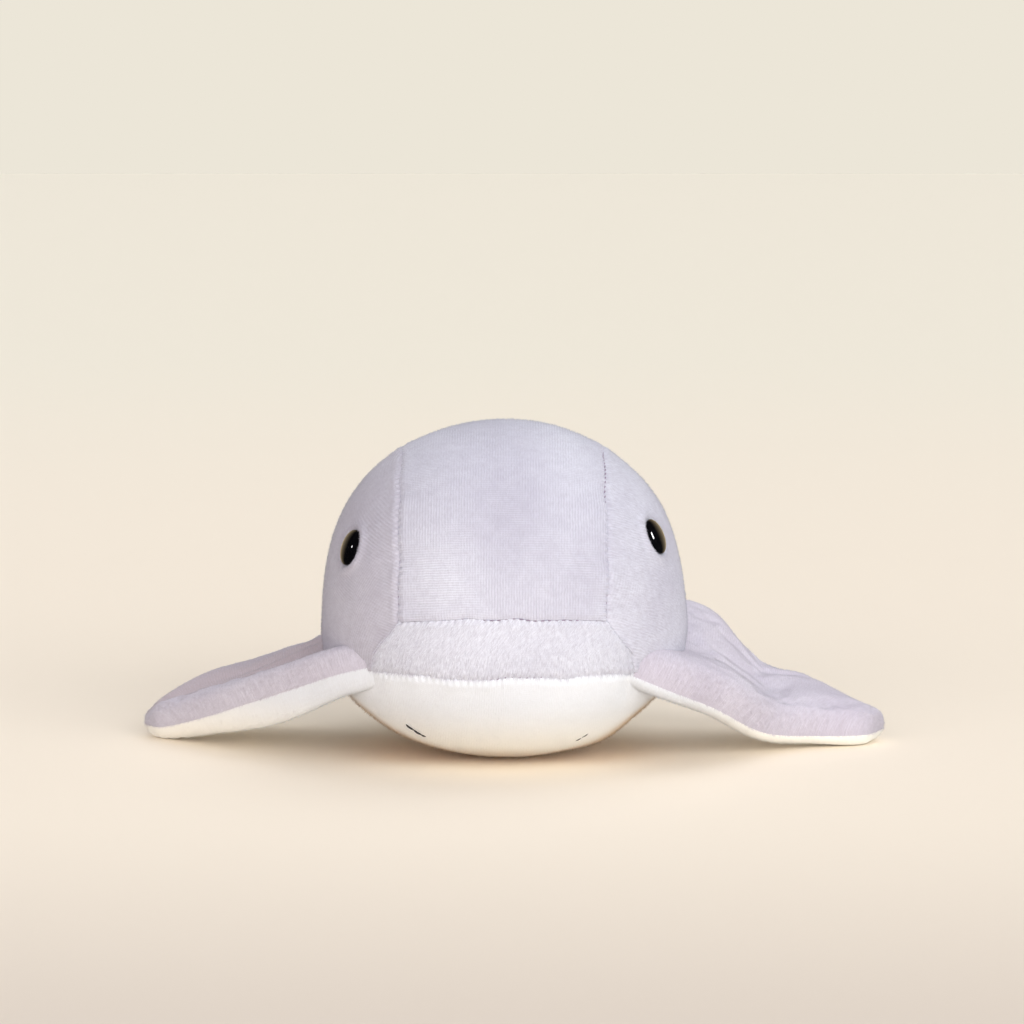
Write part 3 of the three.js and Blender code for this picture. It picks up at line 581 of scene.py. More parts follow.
def painted_table_light(place, out):
    """Share of painted warm light from the table, an ochre on the cloth: a flat-topped bell by the cloth's
    direction, which fades out from 18 to 28 mm up, and all of the cloth close to the table."""
    low = np.clip((28 - place[..., 2]) / 10, 0, 1) * np.clip(-3 * out[..., 2], 0, 1)
    flank, foot = np.exp(-((out[..., 1] + 0.05) / 0.23) ** 4), np.exp(-(place[..., 2] / 6) ** 4)
    return np.maximum(FLANK_PAINTED_LIGHT * flank * low, FOOT_PAINTED_LIGHT * foot)


def belly_sag(place):
    """Height of the belly's fuller side, where the filling has sunk to the toy's left: a bell along each
    axis."""
    x, y, z = np.moveaxis(place, -1, 0)
    return BELLY_SAG * bell(x, 36, 13) * bell(y, -10, 35) * bell(z, 7, 8)


# White plush: undyed polyester pile. It is brighter and softer to the eye than the lavender, because light
# goes deep into the pale pile, and its knit hardly shows. Close to the table it is painted cream, as bounce
# light from the table.
white_plush = plush("short_pile_white_plush", "white_plush", "#d8dade", "#e4e8ef", "#eff3f9", 0.3, 0.2, 0.9)

turn = np.linspace(0, 2 * np.pi, BELLY_COLUMNS + 1)[:-1]
share = (1 - np.cos(np.linspace(0, np.pi / 2, BELLY_ROWS)))[:, None, None]
belly_skin = on_skin(belly_seam(turn)[None] * (1 - share) + (MIDDLE - [0, 0, BODY_BELLY]) * share)
x, y, z = np.moveaxis(belly_skin, -1, 0)
out = skin_normal(belly_skin)
# The crease where the belly meets the left wing's root.
crease = BELLY_CREASE * bell(x, 43, 2.4) * bell(z, 29, 8) * (y < 0)
belly_cloth = turned_in(belly_skin, ["top"], BELLY_WELT) + (belly_sag(belly_skin) - crease)[..., None] * out
belly_inner = belly_cloth - CLOTH * out
belly_cloth[..., 2] = np.maximum(belly_cloth[..., 2], 0)
belly_inner[..., 2] = np.maximum(belly_inner[..., 2], CLOTH)
belly_flat = run(belly_skin[::-1], 0)[::-1, :, None] * np.stack([np.sin(turn), np.cos(turn)], -1)
painted_table_share = painted_table_light(belly_skin, out)
clear = np.clip((belly_cloth[..., 2] - 1) / 6, 0, 1)
# The belly is painted lighter towards the toy's right, and painted with the table's warm light.
body_panel("belly_panel", belly_skin, belly_cloth, belly_flat, white_plush,
           dict(count=20000, length=0.9, lean=0.8, weight=clear, warm=painted_table_share),
           inner=belly_inner, closed=True, lift=BELLY_PAINTED_LIGHTNESS * np.clip(-x / 40, 0, 1), warm=painted_table_share)

# Body seams: lockstitch in polyester sewing thread, one stitch every 2.5 mm. From outside each stitch shows
# as a short bar at the bottom of the groove between two panels.

STITCH_LENGTH, STITCH_RADIUS = 1.9, 0.26
STITCH_RINGS, STITCH_SIDES = 6, 6
SNOUT_STITCH_FOOT, SNOUT_SEAM_DEPTHS = 37.5, (1.3, 0.7, 1.3)


def stitches(name, line, up, finish, pitch=STITCH, length=STITCH_LENGTH, radius=STITCH_RADIUS, sink=0.0,
             dive=0.5):
    """Row of stitches along a line: each is a tube over one length of it, of radius·sin(πt)^0.4 from end to
    end t, arched so that both ends dive deeper into the cloth than the middle."""
    road = run(line, 0)
    count = int(road[-1] / pitch)
    t = np.linspace(0, 1, STITCH_RINGS)
    place = (np.arange(count)[:, None] + 0.5) * pitch + (t - 0.5) * length
    middle, rise = at_run(line, place, road), unit(at_run(up, place, road))
    aside = unit(np.cross(np.gradient(middle, axis=1), rise))
    middle = middle + ((np.sin(np.pi * t) - 1) * dive - sink)[None, :, None] * rise
    thick = (radius * np.sin(np.pi * t) ** 0.4)[None, :, None, None]
    tube = middle[:, :, None] + thick * ring(STITCH_SIDES, rise, aside)
    index = np.moveaxis(np.arange(tube[..., 0].size).reshape(tube.shape[:3]), 0, -1)
    index = np.concatenate([index, index[:, :1]], 1)
    return piece(name, tube, cells(index)[:, [0, 3, 2, 1]], finish)


def spun(name, slot, dark, pale, rough):
    """Sewing thread: the ply's fine slanting bands, about three to the millimetre, and a dull polyester
    sheen."""
    finish, node = new_finish(name, slot)
    coords = node("TexCoord", out="Object")
    ply = node("TexWave", {"Vector": coords, "Scale": WAVE_BAND / 0.0004, "Distortion": 1}, 1,
              bands_direction="DIAGONAL")
    tone = node("Mix", {0: ply, 6: linear(dark), 7: linear(pale)}, 2, data_type="RGBA")
    relief = node("Bump", {"Height": ply, "Distance": 0.0001, "Strength": 0.6})
    shader = node("BsdfPrincipled", {"Base Color": tone, "Normal": relief, "Roughness": rough})
    node("OutputMaterial", {"Surface": shader})
    return finish


# Lavender thread: spun polyester, dyed a little darker than the plush so it reads as a line.
lavender_thread = spun("spun_polyester_thread_lavender", "lavender_thread", "#8d7f92", "#a99cae", 0.7)

face = snout_edge(np.linspace(SNOUT_STITCH_FOOT, SNOUT_CORNER, SEAM_POINTS))
arch = snout_skin[-1, ::-1][1:-1]
snout_line = np.vstack([face, arch, (face * [-1, 1, 1])[::-1]])
drawn_in = np.repeat(SNOUT_SEAM_DEPTHS, [len(face), len(arch) + 1, len(face) - 1])[:, None]
around = belly_seam(np.linspace(-np.pi, np.pi, 900)[4:-4])
for name, line, depth, length in (
        ("left_crown_seam", crown_skin[:-4, -1], 0.72, 1.3),
        ("right_crown_seam", crown_skin[:-4, 0], 0.72, 1.3),
        ("snout_seam", snout_line, drawn_in, 2.2), ("belly_seam", around, 1.1, 1.6)):
    up = skin_normal(line)
    fitted(stitches(f"{name}_stitches", sewn(line) - depth * up, up, lavender_thread, length=length), "body")

# Mouth: a smile sewn in dark embroidery floss, in backstitches through the white belly cloth. The floss is
# drawn tight, so its middle lies down in the pile and only its turned-up ends show.

MOUTH_HALF_WIDTH, MOUTH_END_HEIGHT, MOUTH_MIDDLE_HEIGHT = 34, 16.5, 2.6
MOUTH_STITCH, MOUTH_OVERLAP, FLOSS_RADIUS, FLOSS_DIVE = 3.6, 0.6, 0.34, 0.22
# Shares along the smile, and how far the floss stands over the cloth there.
MOUTH_SHOWN = ([-0.83, -0.77, 0.6, 0.79, 0.86, 0.95], [0.35, -0.75, -0.75, 0.0, -0.12, -0.75])

# Dark floss: mercerised cotton, near black with a faint silky gloss.
dark_floss = spun("cotton_embroidery_floss_dark", "dark_thread", "#18171b", "#3a363d", 0.55)

u = np.linspace(-1, 1, 200)
height = MOUTH_MIDDLE_HEIGHT + (MOUTH_END_HEIGHT - MOUTH_MIDDLE_HEIGHT) * u ** 2
smile = meet(lambda r: point(u * MOUTH_HALF_WIDTH, -r, height))
up = skin_normal(smile)
smile = smile + (lumps(smile) + belly_sag(smile) + np.interp(u, *MOUTH_SHOWN))[:, None] * up
fitted(stitches("mouth_stitches", smile, up, dark_floss, MOUTH_STITCH, MOUTH_STITCH + MOUTH_OVERLAP,
                FLOSS_RADIUS, dive=FLOSS_DIVE), "body")

# Eyes: moulded black plastic domes on a stem. The stem goes through the cheek, and a washer pressed onto it
# from inside holds the eye and draws the cloth in.

EYE_DOME, EYE_RIM, EYE_LIFT, EYE_ROUNDING = 2.4, 0.6, -0.9, 0.3
STEM_RADIUS, STEM_LENGTH, STEM_CHAMFER = 2.5, 13, 0.4
EYE_TURNS, EYE_RINGS = 64, 20

# Black acrylic: injection moulded and polished, so it mirrors the room in a clear coat over deep black.
black_plastic, node = new_finish("moulded_black_acrylic", "black_plastic")
coords = node("TexCoord", out="Object")
specks = node("TexNoise", {"Vector": coords, "Scale": 900, "Detail": 3})
gloss = node("MapRange", {0: specks, 1: 0.3, 2: 0.8, 3: 0.03, 4: 0.09})
tone = node("Mix", {0: specks, 6: linear("#050506"), 7: linear("#0d0d10")}, 2, data_type="RGBA")
shader = node("BsdfPrincipled", {"Base Color": tone, "Roughness": gloss, "IOR": 1.45})
node("OutputMaterial", {"Surface": shader})

# Natural nylon: unpigmented, milky and waxy.
natural_plastic, node = new_finish("moulded_natural_nylon")
coords = node("TexCoord", out="Object")
flow = node("TexNoise", {"Vector": coords, "Scale": 250, "Detail": 2})
tone = node("Mix", {0: flow, 6: linear("#ddd8cb"), 7: linear("#ece8de")}, 2, data_type="RGBA")
shader = node("BsdfPrincipled", {"Base Color": tone, "Roughness": 0.45, "Subsurface Weight": 0.2})
node("OutputMaterial", {"Surface": shader})

bow = np.linspace(0, np.pi / 2, EYE_RINGS)
under = np.array([
    [0, -STEM_LENGTH], [STEM_RADIUS - STEM_CHAMFER, -STEM_LENGTH],
    [STEM_RADIUS, STEM_CHAMFER - STEM_LENGTH], [STEM_RADIUS, 0],
    [EYE_RADIUS - EYE_ROUNDING, 0], [EYE_RADIUS, EYE_ROUNDING]])
dome = np.stack([EYE_RADIUS * np.cos(bow), EYE_RIM + (EYE_DOME - EYE_RIM) * np.sin(bow)], -1)
profile = np.vstack([under, dome])[..., None, None]
for name, (side, *place) in EYES.items():
    seat, out = eye_seat(side, *place)
    ahead = unit(np.cross(out, [0, 0, 1]))
    rings = profile[:, 0] * ring(EYE_TURNS, ahead, np.cross(out, ahead))
    rings = rings + seat + (profile[:, 1] + EYE_LIFT) * out
    index = np.arange(rings[..., 0].size).reshape(rings.shape[:2])
    index = np.hstack([index, index[:, :1]])
    fitted(piece(f"{name}_eye_dome", rings, cells(index)[:, ::-1], black_plastic), "body")
    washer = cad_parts[f"{name}_eye_washer"]
    washer.data.materials.clear()
    washer.data.materials.append(natural_plastic[0])

# Wings: each is a lavender top and a white underside sewn together along the edge, turned, and thinly filled
# with batting, so it puffs up behind a rolled front edge. Its root is sewn into the body's side.

# Stations from root to tip: x past the body's half width, y and z of the front edge, y and z of the back
# edge.
LEFT_WING = np.array([
    [-31.5, -50, 40, 44, 44], [-9.5, -41, 29.5, 53, 45.5], [8.5, -27, 20.5, 55, 42.5],
    [27.5, -9, 8.6, 50, 24], [46.5, 3, 5.2, 43, 18], [64.5, 9, 4.4, 34, 9], [74, 19, 4.4, 28.5, 5.2]])
RIGHT_WING = np.array([
    [-31.5, -52, 41, 44, 36], [-9.5, -41, 35, 55, 34], [8.5, -27, 27.2, 58, 27], [25.5, -12, 19.6, 57, 21],
    [42.5, 4, 12, 52, 17], [58, 19, 6, 43, 10], [67, 27, 4.6, 36, 5.4]])
# Folds: x and y in plan where each starts and ends, how high it rises, and its spread.
LEFT_WING_FOLDS = np.array([
    [90, 22, 104, 32, 1.8, 6], [84, -20, 103, 2, -0.4, 5], [70, -30, 80, -22, -1.1, 2.5],
    [86, 33, 112, 36, -0.7, 3], [76, 8, 92, 16, 0.7, 4]])
RIGHT_WING_FOLDS = np.array([
    [-64, 25, -98, 28, 0.9, 2.2], [-68, 32, -104, 34, -0.9, 2.5], [-62, 39, -96, 41, 0.8, 2.5]])
# Side, stations, share of the filling that sags below, front roll's radius and fall, valley's depth and
# reach, folds, and how far, where and how widely the underside hangs.
WINGS = {"left": (1, LEFT_WING, 0.35, 8.5, 2.2, (1.8, 0.4), LEFT_WING_FOLDS, (1.6, 0.85, 0.2)),
         "right": (-1, RIGHT_WING, 0.9, 6.5, 0.9, (6.0, 1.5), RIGHT_WING_FOLDS, (3.4, 0.45, 0.22))}
# Painted lightness of the nap by side, on the front edge's cloth and on its pile: the left wing's cloth a
# little darker, the right wing's cloth and pile lighter.
WING_PAINTED_LIGHTNESS = {1: (-0.08, 0.0), -1: (0.15, 0.2)}  # nap of the front edge's cloth and of its pile
WING_ROWS, WING_COLUMNS = 231, 97
VALLEY_PLACE, VALLEY_SPREAD, WING_ROOT_FILL = -0.05, 0.38, 0.3
WING_EDGE, WING_EDGE_ROUND, WING_PUFF, WING_ROLL_TAPER = 2.3, 3.4, 3, 0.5
WING_TIP_START, WING_TIP_SHARE, WING_ROUND = 0.75, 0.35, 0.86
WING_GATHER, WING_PULL, WING_GATHER_REACH, FOLD_ROUND = 0.13, 0.05, 2.2, 8
WING_GIVE, WING_PRESSURE, WING_EASE, WING_TICKS = 1.5, 4, 0.012, 20
WING_MASS, WING_STIFFNESS = 0.1, 0.2
BAG_ROWS, BAG_COLUMNS = np.arange(0, WING_ROWS, 5), np.arange(0, WING_COLUMNS, 3)
BAG_HELD = np.s_[:8], np.s_[-4:], np.s_[:, :8], np.s_[:, -5:]
WING_TUCK, WING_STITCH_DEPTH, TUCK_COLUMN = 0.4, 2.0, 8
WALL_SHARE, WALL_EDGE = 0.3, 0.01
WING_SEAM_ROWS = 4, 20
BATTING_INSET, BATTING_SHARE = np.s_[2:-16:2, 6:-6:2], 0.4
FRONT_REACH, FURRY, FURRY_REACH = 6, 0.85, 10
# Painted shade on the right wing's top behind its front roll, where the body shades it: how much darker, how
# much painted ochre, its place and spread in y, and the share from front to back where it starts.
SHADE, SHADE_WARM, SHADE_PLACE, SHADE_SPREAD, SHADE_START = 0.3, 0.16, 30, 26, -0.3
WING_BEND, WING_BEND_HEIGHT = (0.050, 0.074), 0.042
TABLE_GAP = 0.3


def spline(points, t):
    """Smooth curve through points at even shares of t from 0 to 1: cubic pieces whose slope at a point is
    half the step between its neighbours, with the first and last steps carried on."""
    points = np.vstack([2 * points[0] - points[1], points, 2 * points[-1] - points[-2]])
    count = len(points) - 3
    start = np.clip((t * count).astype(int), 0, count - 1)
    f = (t * count - start)[..., None]
    a, b, c, d = (points[start + k] for k in range(4))
    return b + f / 2 * (c - a + f * (2 * a - 5 * b + 4 * c - d + f * (3 * b - a - 3 * c + d)))


def wing_middle(stations, side, valley, s, c):
    """Middle of a wing from its front edge (c = -1) to its back edge (c = 1) at share s out: straight but for
    a bell-shaped valley, which fades out over a reach along the wing and at the root."""
    x = (BODY_HALF_WIDTH + stations[:, :1]) * side
    front, back = (spline(np.hstack([x, stations[:, k:k + 2]]), s) for k in (1, 3))
    place = front + (back - front) * ((1 + c) / 2)[..., None]
    depth, reach = valley
    fade = (1 - s ** 2) * (1 - c ** 2) * bell(s, 0, reach) * (1 - bell(s, 0, WING_ROOT_FILL))
    place[..., 2] -= depth * bell(c, VALLEY_PLACE, VALLEY_SPREAD) * fade
    return place


def folded(place, folds):
    """Height of a cloth's folds: each is a bell curve across a straight line in plan and along it."""
    height = np.zeros(place.shape[:-1])
    for x, y, far_x, far_y, rise, spread in folds:
        length = np.hypot(far_x - x, far_y - y)
        ahead = np.array([far_x - x, far_y - y, 0]) / length
        offset = place - [x, y, 0]
        across = offset[..., 0] * ahead[1] - offset[..., 1] * ahead[0]
        height += rise * bell(across, 0, spread) * bell(offset @ ahead, length / 2, 0.55 * length)
    return height


def quarter_round(inward):
    """Height of a quarter circle at a share of its radius in from its edge, and 1 farther in."""
    return np.sqrt(1 - (1 - np.clip(inward, 0, 1)) ** 2)


def wing_swell(s, width, roll, fall):
    """Height of the filling by the distance from the front edge: quarter circles at both edges, and a front
    roll that falls along a bell curve to a thin puff, less towards the tip."""
    radius = roll * (1 - WING_ROLL_TAPER * s ** 3)
    ends = quarter_round(width / radius) * quarter_round((width[:, -1:] - width) / radius)
    high = bell(np.maximum(width / radius, 1), 1, fall)
    tip = np.clip((s - WING_TIP_START) / (1 - WING_TIP_START), 0, 1)
    share = WING_TIP_SHARE + (1 - WING_TIP_SHARE) * np.sqrt(1 - tip ** 2)
    return ends * (WING_PUFF + (radius - WING_PUFF) * high) * share


def wing_sides(side, stations, sag, roll, fall, valley, folds, hang):
    """Top, underside, normal and place on the flat cloth of a wing, on a grid that narrows along a quarter
    circle to the tip. Each side stands off the middle by its swell and an edge that rounds down to the seam,
    gathered at every stitch, and the underside hangs lower by a bell curve along the wing."""
    c, s = np.meshgrid(eased(WING_COLUMNS), np.sin(np.linspace(0, np.pi / 2, WING_ROWS)))
    c = c * np.sqrt(1 - np.clip((s - WING_ROUND) / (1 - WING_ROUND), 0, 1) ** 2)
    at = partial(wing_middle, stations, side, valley)
    middle, step = at(s, c), 1e-3
    normal = unit(np.cross(at(s + step, c) - at(s - step, c), at(s, c + step) - at(s, c - step)) * side)
    width, length = run(middle, 1), run(middle, 0)
    near = np.minimum(width, width[:, -1:] - width)
    pull = np.cos(2 * np.pi * np.where(c < 0, length[:, :1], length[:, -1:]) / STITCH)
    gather = 1 - (WING_GATHER + WING_PULL * pull) * np.exp(-near / WING_GATHER_REACH)
    rounding = WING_EDGE * quarter_round(near / WING_EDGE_ROUND)
    swell = wing_swell(s, width, roll, fall)
    rise = gather * (rounding + swell) + folded(middle, folds) * quarter_round(near / FOLD_ROUND)
    slack = hang[0] * bell(s, hang[1], hang[2]) * swell / roll
    top = middle + rise[..., None] * normal
    under = middle - (gather * (rounding + sag * swell + slack))[..., None] * normal
    under[..., 2] = np.maximum(under[..., 2], TABLE_GAP)
    top[..., 2] = np.maximum(top[..., 2], under[..., 2])
    return top, under, normal, np.stack([length, width], -1)


def refined(grid):
    """A coarse grid's field on the whole wing grid, along smooth curves down its columns and then its
    rows."""
    for count in (WING_ROWS, WING_COLUMNS):
        grid = spline(grid.reshape(len(grid), -1), np.linspace(0, 1, count))
        grid = grid.reshape(count, -1, 3).swapaxes(0, 1)
    return grid


def filled(name, top, under):
    """Both sides of a wing after its batting has swelled them: some rows and columns make a closed cloth,
    held round its rim and blown up. No point goes farther than the cloth gives, and the whole grid
    follows."""
    start = np.stack([side[BAG_ROWS[:-1]][:, BAG_COLUMNS] for side in (top, under)]) / 1000
    upper = np.arange(start[0, ..., 0].size).reshape(start.shape[1:3])
    lower = upper.copy()
    lower[:, 1:-1] = upper.size + np.arange(lower[:, 1:-1].size).reshape(lower[:, 1:-1].shape)
    caps = [np.concatenate([upper[end], lower[end, -2:0:-1]]).tolist() for end in (0, -1)]
    mesh = bpy.data.meshes.new(name)
    mesh.from_pydata(np.vstack([start[0].reshape(-1, 3), start[1, :, 1:-1].reshape(-1, 3)]).tolist(), [],
                     cells(upper).tolist() + cells(lower)[:, ::-1].tolist() + caps)
    work = bmesh.new()
    work.from_mesh(mesh)
    bmesh.ops.recalc_face_normals(work, faces=work.faces)
    work.to_mesh(mesh)
    work.free()
    bag = placed(name, mesh)
    held = np.unique(np.concatenate([grid[rim].ravel() for grid in (upper, lower) for rim in BAG_HELD]))
    bag.vertex_groups.new(name="held").add(held.tolist(), 1, "REPLACE")
    cloth = bag.modifiers.new("filling", "CLOTH")
    weave = cloth.settings
    weave.vertex_group_mass = "held"
    weave.use_pressure, weave.uniform_pressure_force = True, WING_PRESSURE
    weave.mass, weave.bending_stiffness, weave.shrink_min = WING_MASS, WING_STIFFNESS, -WING_EASE
    weave.effector_weights.gravity = 0
    cloth.point_cache.frame_end = WING_TICKS
    for tick in range(1, WING_TICKS + 1):
        bpy.context.scene.frame_set(tick)
    blown = bag.evaluated_get(bpy.context.evaluated_depsgraph_get()).data
    places = np.empty(3 * len(blown.vertices))
    blown.vertices.foreach_get("co", places)
    bpy.context.scene.frame_set(1)
    bpy.data.objects.remove(bag)
    moved = 1000 * (places.reshape(-1, 3)[np.stack([upper, lower])] - start)
    moved *= np.minimum(1, WING_GIVE / np.maximum(np.linalg.norm(moved, axis=-1, keepdims=True), TINY))
    moved = np.concatenate([moved, 0 * moved[:, :1]], 1)
    return top + refined(moved[0]), under + refined(moved[1])


def grid_normal(grid, out):
    """Direction straight out of a grid: its two slopes crossed, all turned to the side of a rough direction
    out."""
    normal = np.cross(np.gradient(grid, axis=0), np.gradient(grid, axis=1))
    return unit(normal * np.sign((normal * out).sum())) + 1e-3 * out


def tucked(grid, depth):
    """A wing's front and back edge, turned in towards the wing's middle by a depth."""
    ways = grid[:, TUCK_COLUMN] - grid[:, 0], grid[:, -1 - TUCK_COLUMN] - grid[:, -1]
    return [edge + depth * unit(way, depth) for edge, way in zip((grid[:, 0], grid[:, -1]), ways)]


def widened(field, front=None, back=None):
    """A field on a wing grid with one more column at the front and back edge, which repeats the edge or is
    given."""
    front, back = (field[:, 0], field[:, -1]) if front is None else (front, back)
    return np.concatenate([front[:, None], field, back[:, None]], 1)


def out_and_home(first, second, start, end):
    """Line out along a first edge and home along a second one, without some rows at their start and end."""
    return np.vstack([first[start:-end], second[-end:start:-1]])


# Lavender plush laid with its pile across, so that it looks a little pinker than on the body.
cross_plush = plush("short_pile_lavender_plush_cross_nap", "lavender_plush", "#a399a4", "#cbc5d3", "#e9e6ef",
                    0.35, 0.25, 0)

for name, (side, *form) in WINGS.items():
    top, under, normal, flat = wing_sides(side, *form)
    top, under = filled(f"{name}_wing_filling", top, under)
    under[..., 2] = np.maximum(under[..., 2], TABLE_GAP)
    core = (top + under) / 2
    top_cloth, under_cloth = (widened(grid, *tucked(core, WING_TUCK)) for grid in (top, under))
    thick = np.linalg.norm(top_cloth - under_cloth, axis=-1, keepdims=True)
    wall = np.minimum(CLOTH, WALL_SHARE * thick + WALL_EDGE) * widened(normal)
    cut = widened(flat)
    ahead = np.arange(WING_COLUMNS) < WING_COLUMNS / 2
    front, furry = (bell(flat[..., 1], 0, reach) * ahead for reach in (FRONT_REACH, FURRY_REACH))
    # Painted shade on the right wing's top behind the front roll, where the body shades it, and painted
    # lightness along the front edge.
    behind = np.linspace(-1, 1, WING_COLUMNS) > SHADE_START
    shade = (side < 0) * bell(core[..., 1], SHADE_PLACE, SHADE_SPREAD) * behind
    cloth_lift, pile_lift = WING_PAINTED_LIGHTNESS[side]
    batting = [(core + BATTING_SHARE * (grid - core))[BATTING_INSET] for grid in (top, under)]
    seam_line = out_and_home(*tucked(core, WING_STITCH_DEPTH), *WING_SEAM_ROWS)
    seam_up = out_and_home(normal[:, 0], normal[:, -1], *WING_SEAM_ROWS)
    upward, downward = grid_normal(top, normal), grid_normal(under, -normal)
    bend = [(side * x, 0, WING_BEND_HEIGHT) for x in WING_BEND]
    wing = f"{name}_wing"
    for part in (
            panel(f"{wing}_top_plush", top_cloth, top_cloth - wall, cross_plush, cut,
                  lift=widened(cloth_lift * front - SHADE * shade), knit=widened(1 - FURRY * furry),
                  warm=widened(SHADE_WARM * shade)),
            panel(f"{wing}_underside_plush", under_cloth, under_cloth + wall, white_plush, cut),
            panel(f"{wing}_batting_fibre", *batting, fibre_fill, flat[BATTING_INSET]),
            stitches(f"{wing}_seam_stitches", seam_line, seam_up, lavender_thread),
            pile(f"{wing}_top_pile", top, upward, flat, cross_plush, 14000, 0.7, comb=(0, -1, -0.4)),
            # The edge pile takes its side's painted lightness, and the underside's pile is painted lighter.
            pile(f"{wing}_edge_pile", top, upward, flat, cross_plush, 10000, 1.2, lean=1.2, scatter=0.25,
                 weight=front, lift=pile_lift, radius=0.08),
            pile(f"{wing}_underside_pile", under, downward, flat, white_plush, 7500, 0.8, lean=1.1,
                 weight=front * (under[..., 2] > 2), lift=0.5, radius=0.08)):
        fitted(part, wing, bend)

# Tail: a lavender upper and a white lower panel sewn into a taper and stuffed. Its root is gathered, tied
# with a knot of thread and sewn to the middle of the body's rear, where it can swing and lift.

TAIL_PIVOT = np.array([0, 101.3, 47])
TAIL_NECK = 6.4
# Stations from root to tip: y, z and half width.
TAIL = np.array([
    [101.3, 47, 6.4], [106.5, 46.2, 7.8], [114.6, 44, 10.9], [136.6, 31, 13.6], [166.6, 16.5, 11.6],
    [194.6, 10, 9], [214.6, 7.6, 6.6], [221.6, 6.6, 4.4]])
TAIL_ROUNDNESS, TAIL_END, TAIL_FILL = 0.85, 0.93, 0.8
TAIL_ROWS, TAIL_BALL_ROWS, TAIL_COLUMNS = 300, 24, 49
TAIL_GATHER, TAIL_GATHERS, TAIL_GATHER_PLACE, TAIL_GATHER_SPREAD = 0.25, 5, 9, 7
TAIL_PUCKER, TAIL_PULL, TAIL_PUCKER_REACH = 0.1, 0.06, 1.6
TAIL_BALL_END, TAIL_BALL_FADE = 8, 12
TAIL_INSET, TAIL_SHARE = np.s_[30:-14:3, 5:-5:2], 0.6
TAIL_SEAM_ROWS, TAIL_SEAM_SINK = (30, 24), 0.35
KNOT_RADIUS, KNOT_THREAD, KNOT_WINDS = 2.75, 0.2, 14
ASIDE, BACKWARD = np.array([1, 0, 0]), (0, 1, 0)

# Its middle line and half width: a ball about the pivot, then the stations' spline, closed along a quarter
# circle.
t = np.linspace(0, 1, TAIL_ROWS)
line = spline(TAIL, t)
line[:, 2] *= np.sqrt(1 - np.clip((t - TAIL_END) / (1 - TAIL_END), 0, 1) ** 2)
back = np.linspace(-np.pi / 2, 0, TAIL_BALL_ROWS)[:-1]
ball = point(TAIL_PIVOT[1] + TAIL_NECK * np.sin(back), TAIL_PIVOT[2], TAIL_NECK * np.cos(back))
line = np.vstack([ball, line])
middle, half = point(0, line[:, 0], line[:, 1]), line[:, 2:]
up = np.cross(ASIDE, unit(np.gradient(middle, axis=0)))[:, None]
along = run(middle, 0)[:, None]
c = eased(TAIL_COLUMNS)
arc = np.sqrt(1 - c ** 2)
edge = middle[:, None] + (half * c)[..., None] * ASIDE
near = half * (1 - np.abs(c))
pull = np.cos(2 * np.pi * along / STITCH)
pucker = (TAIL_PUCKER + TAIL_PULL * pull) * np.exp(-near / TAIL_PUCKER_REACH)
swell = half * TAIL_ROUNDNESS * arc * (1 - pucker)
gathered = bell(along, TAIL_GATHER_PLACE, TAIL_GATHER_SPREAD) * arc
swell = swell + TAIL_GATHER * np.cos(TAIL_GATHERS * np.pi * c) * gathered
round_share = np.clip(1 - (along - TAIL_BALL_END) / TAIL_BALL_FADE, 0, 1)
swell = swell * (1 + (1 / TAIL_ROUNDNESS - 1) * round_share)
tail_top = edge + swell[..., None] * up
tail_low = edge - swell[..., None] * up
tail_low[..., 2] = np.maximum(tail_low[..., 2], TABLE_GAP)
flat = np.stack([half * np.arcsin(c), along + 0 * c], -1)
core = (tail_top + tail_low) / 2
thick = np.linalg.norm(tail_top - tail_low, axis=-1, keepdims=True)
wall = np.minimum(CLOTH, WALL_SHARE * thick + WALL_EDGE) * up
stuffing = [(core + TAIL_SHARE * (grid - core))[TAIL_INSET] for grid in (tail_top, tail_low)]
seam_line = out_and_home(edge[:, 0], edge[:, -1], *TAIL_SEAM_ROWS)
seam_up = out_and_home(0 * middle - ASIDE, 0 * middle + ASIDE, *TAIL_SEAM_ROWS)
upward, downward = (grid_normal(grid, 0 * grid + way) for grid, way in ((tail_top, up), (tail_low, -up)))
for part in (
        panel("tail_upper_panel_plush", tail_top, tail_top - wall, lavender_plush, flat),
        panel("tail_lower_panel_plush", tail_low, tail_low + wall, white_plush, flat),
        panel("tail_stuffing_fibre", *stuffing, fibre_fill, flat[TAIL_INSET]),
        stitches("tail_seam_stitches", seam_line, seam_up, lavender_thread, sink=TAIL_SEAM_SINK),
        pile("tail_upper_panel_pile", tail_top, upward, flat, lavender_plush, 9000, 0.8, comb=BACKWARD),
        pile("tail_lower_panel_pile", tail_low, downward, flat, white_plush, 6000, 0.8, comb=BACKWARD,
             weight=tail_low[..., 2] > 2)):
    fitted(part, "tail")

turn, rise, ways, faces = globe(49, 41)
wound = KNOT_RADIUS + KNOT_THREAD * np.cos(turn + KNOT_WINDS * rise)
knot_form = wound[..., None] * ways[..., [0, 2, 1]] + TAIL_PIVOT
fitted(piece("tail_root_knot_thread", knot_form, faces, lavender_thread), "tail_knot")

# Table, light and camera: a pale seamless table, a soft light from the front right, weaker ones from above
# and the front left, a small one for each eye's glint, and a dim room, seen from a little above the toy.

FLOOR_REACH = 40.0
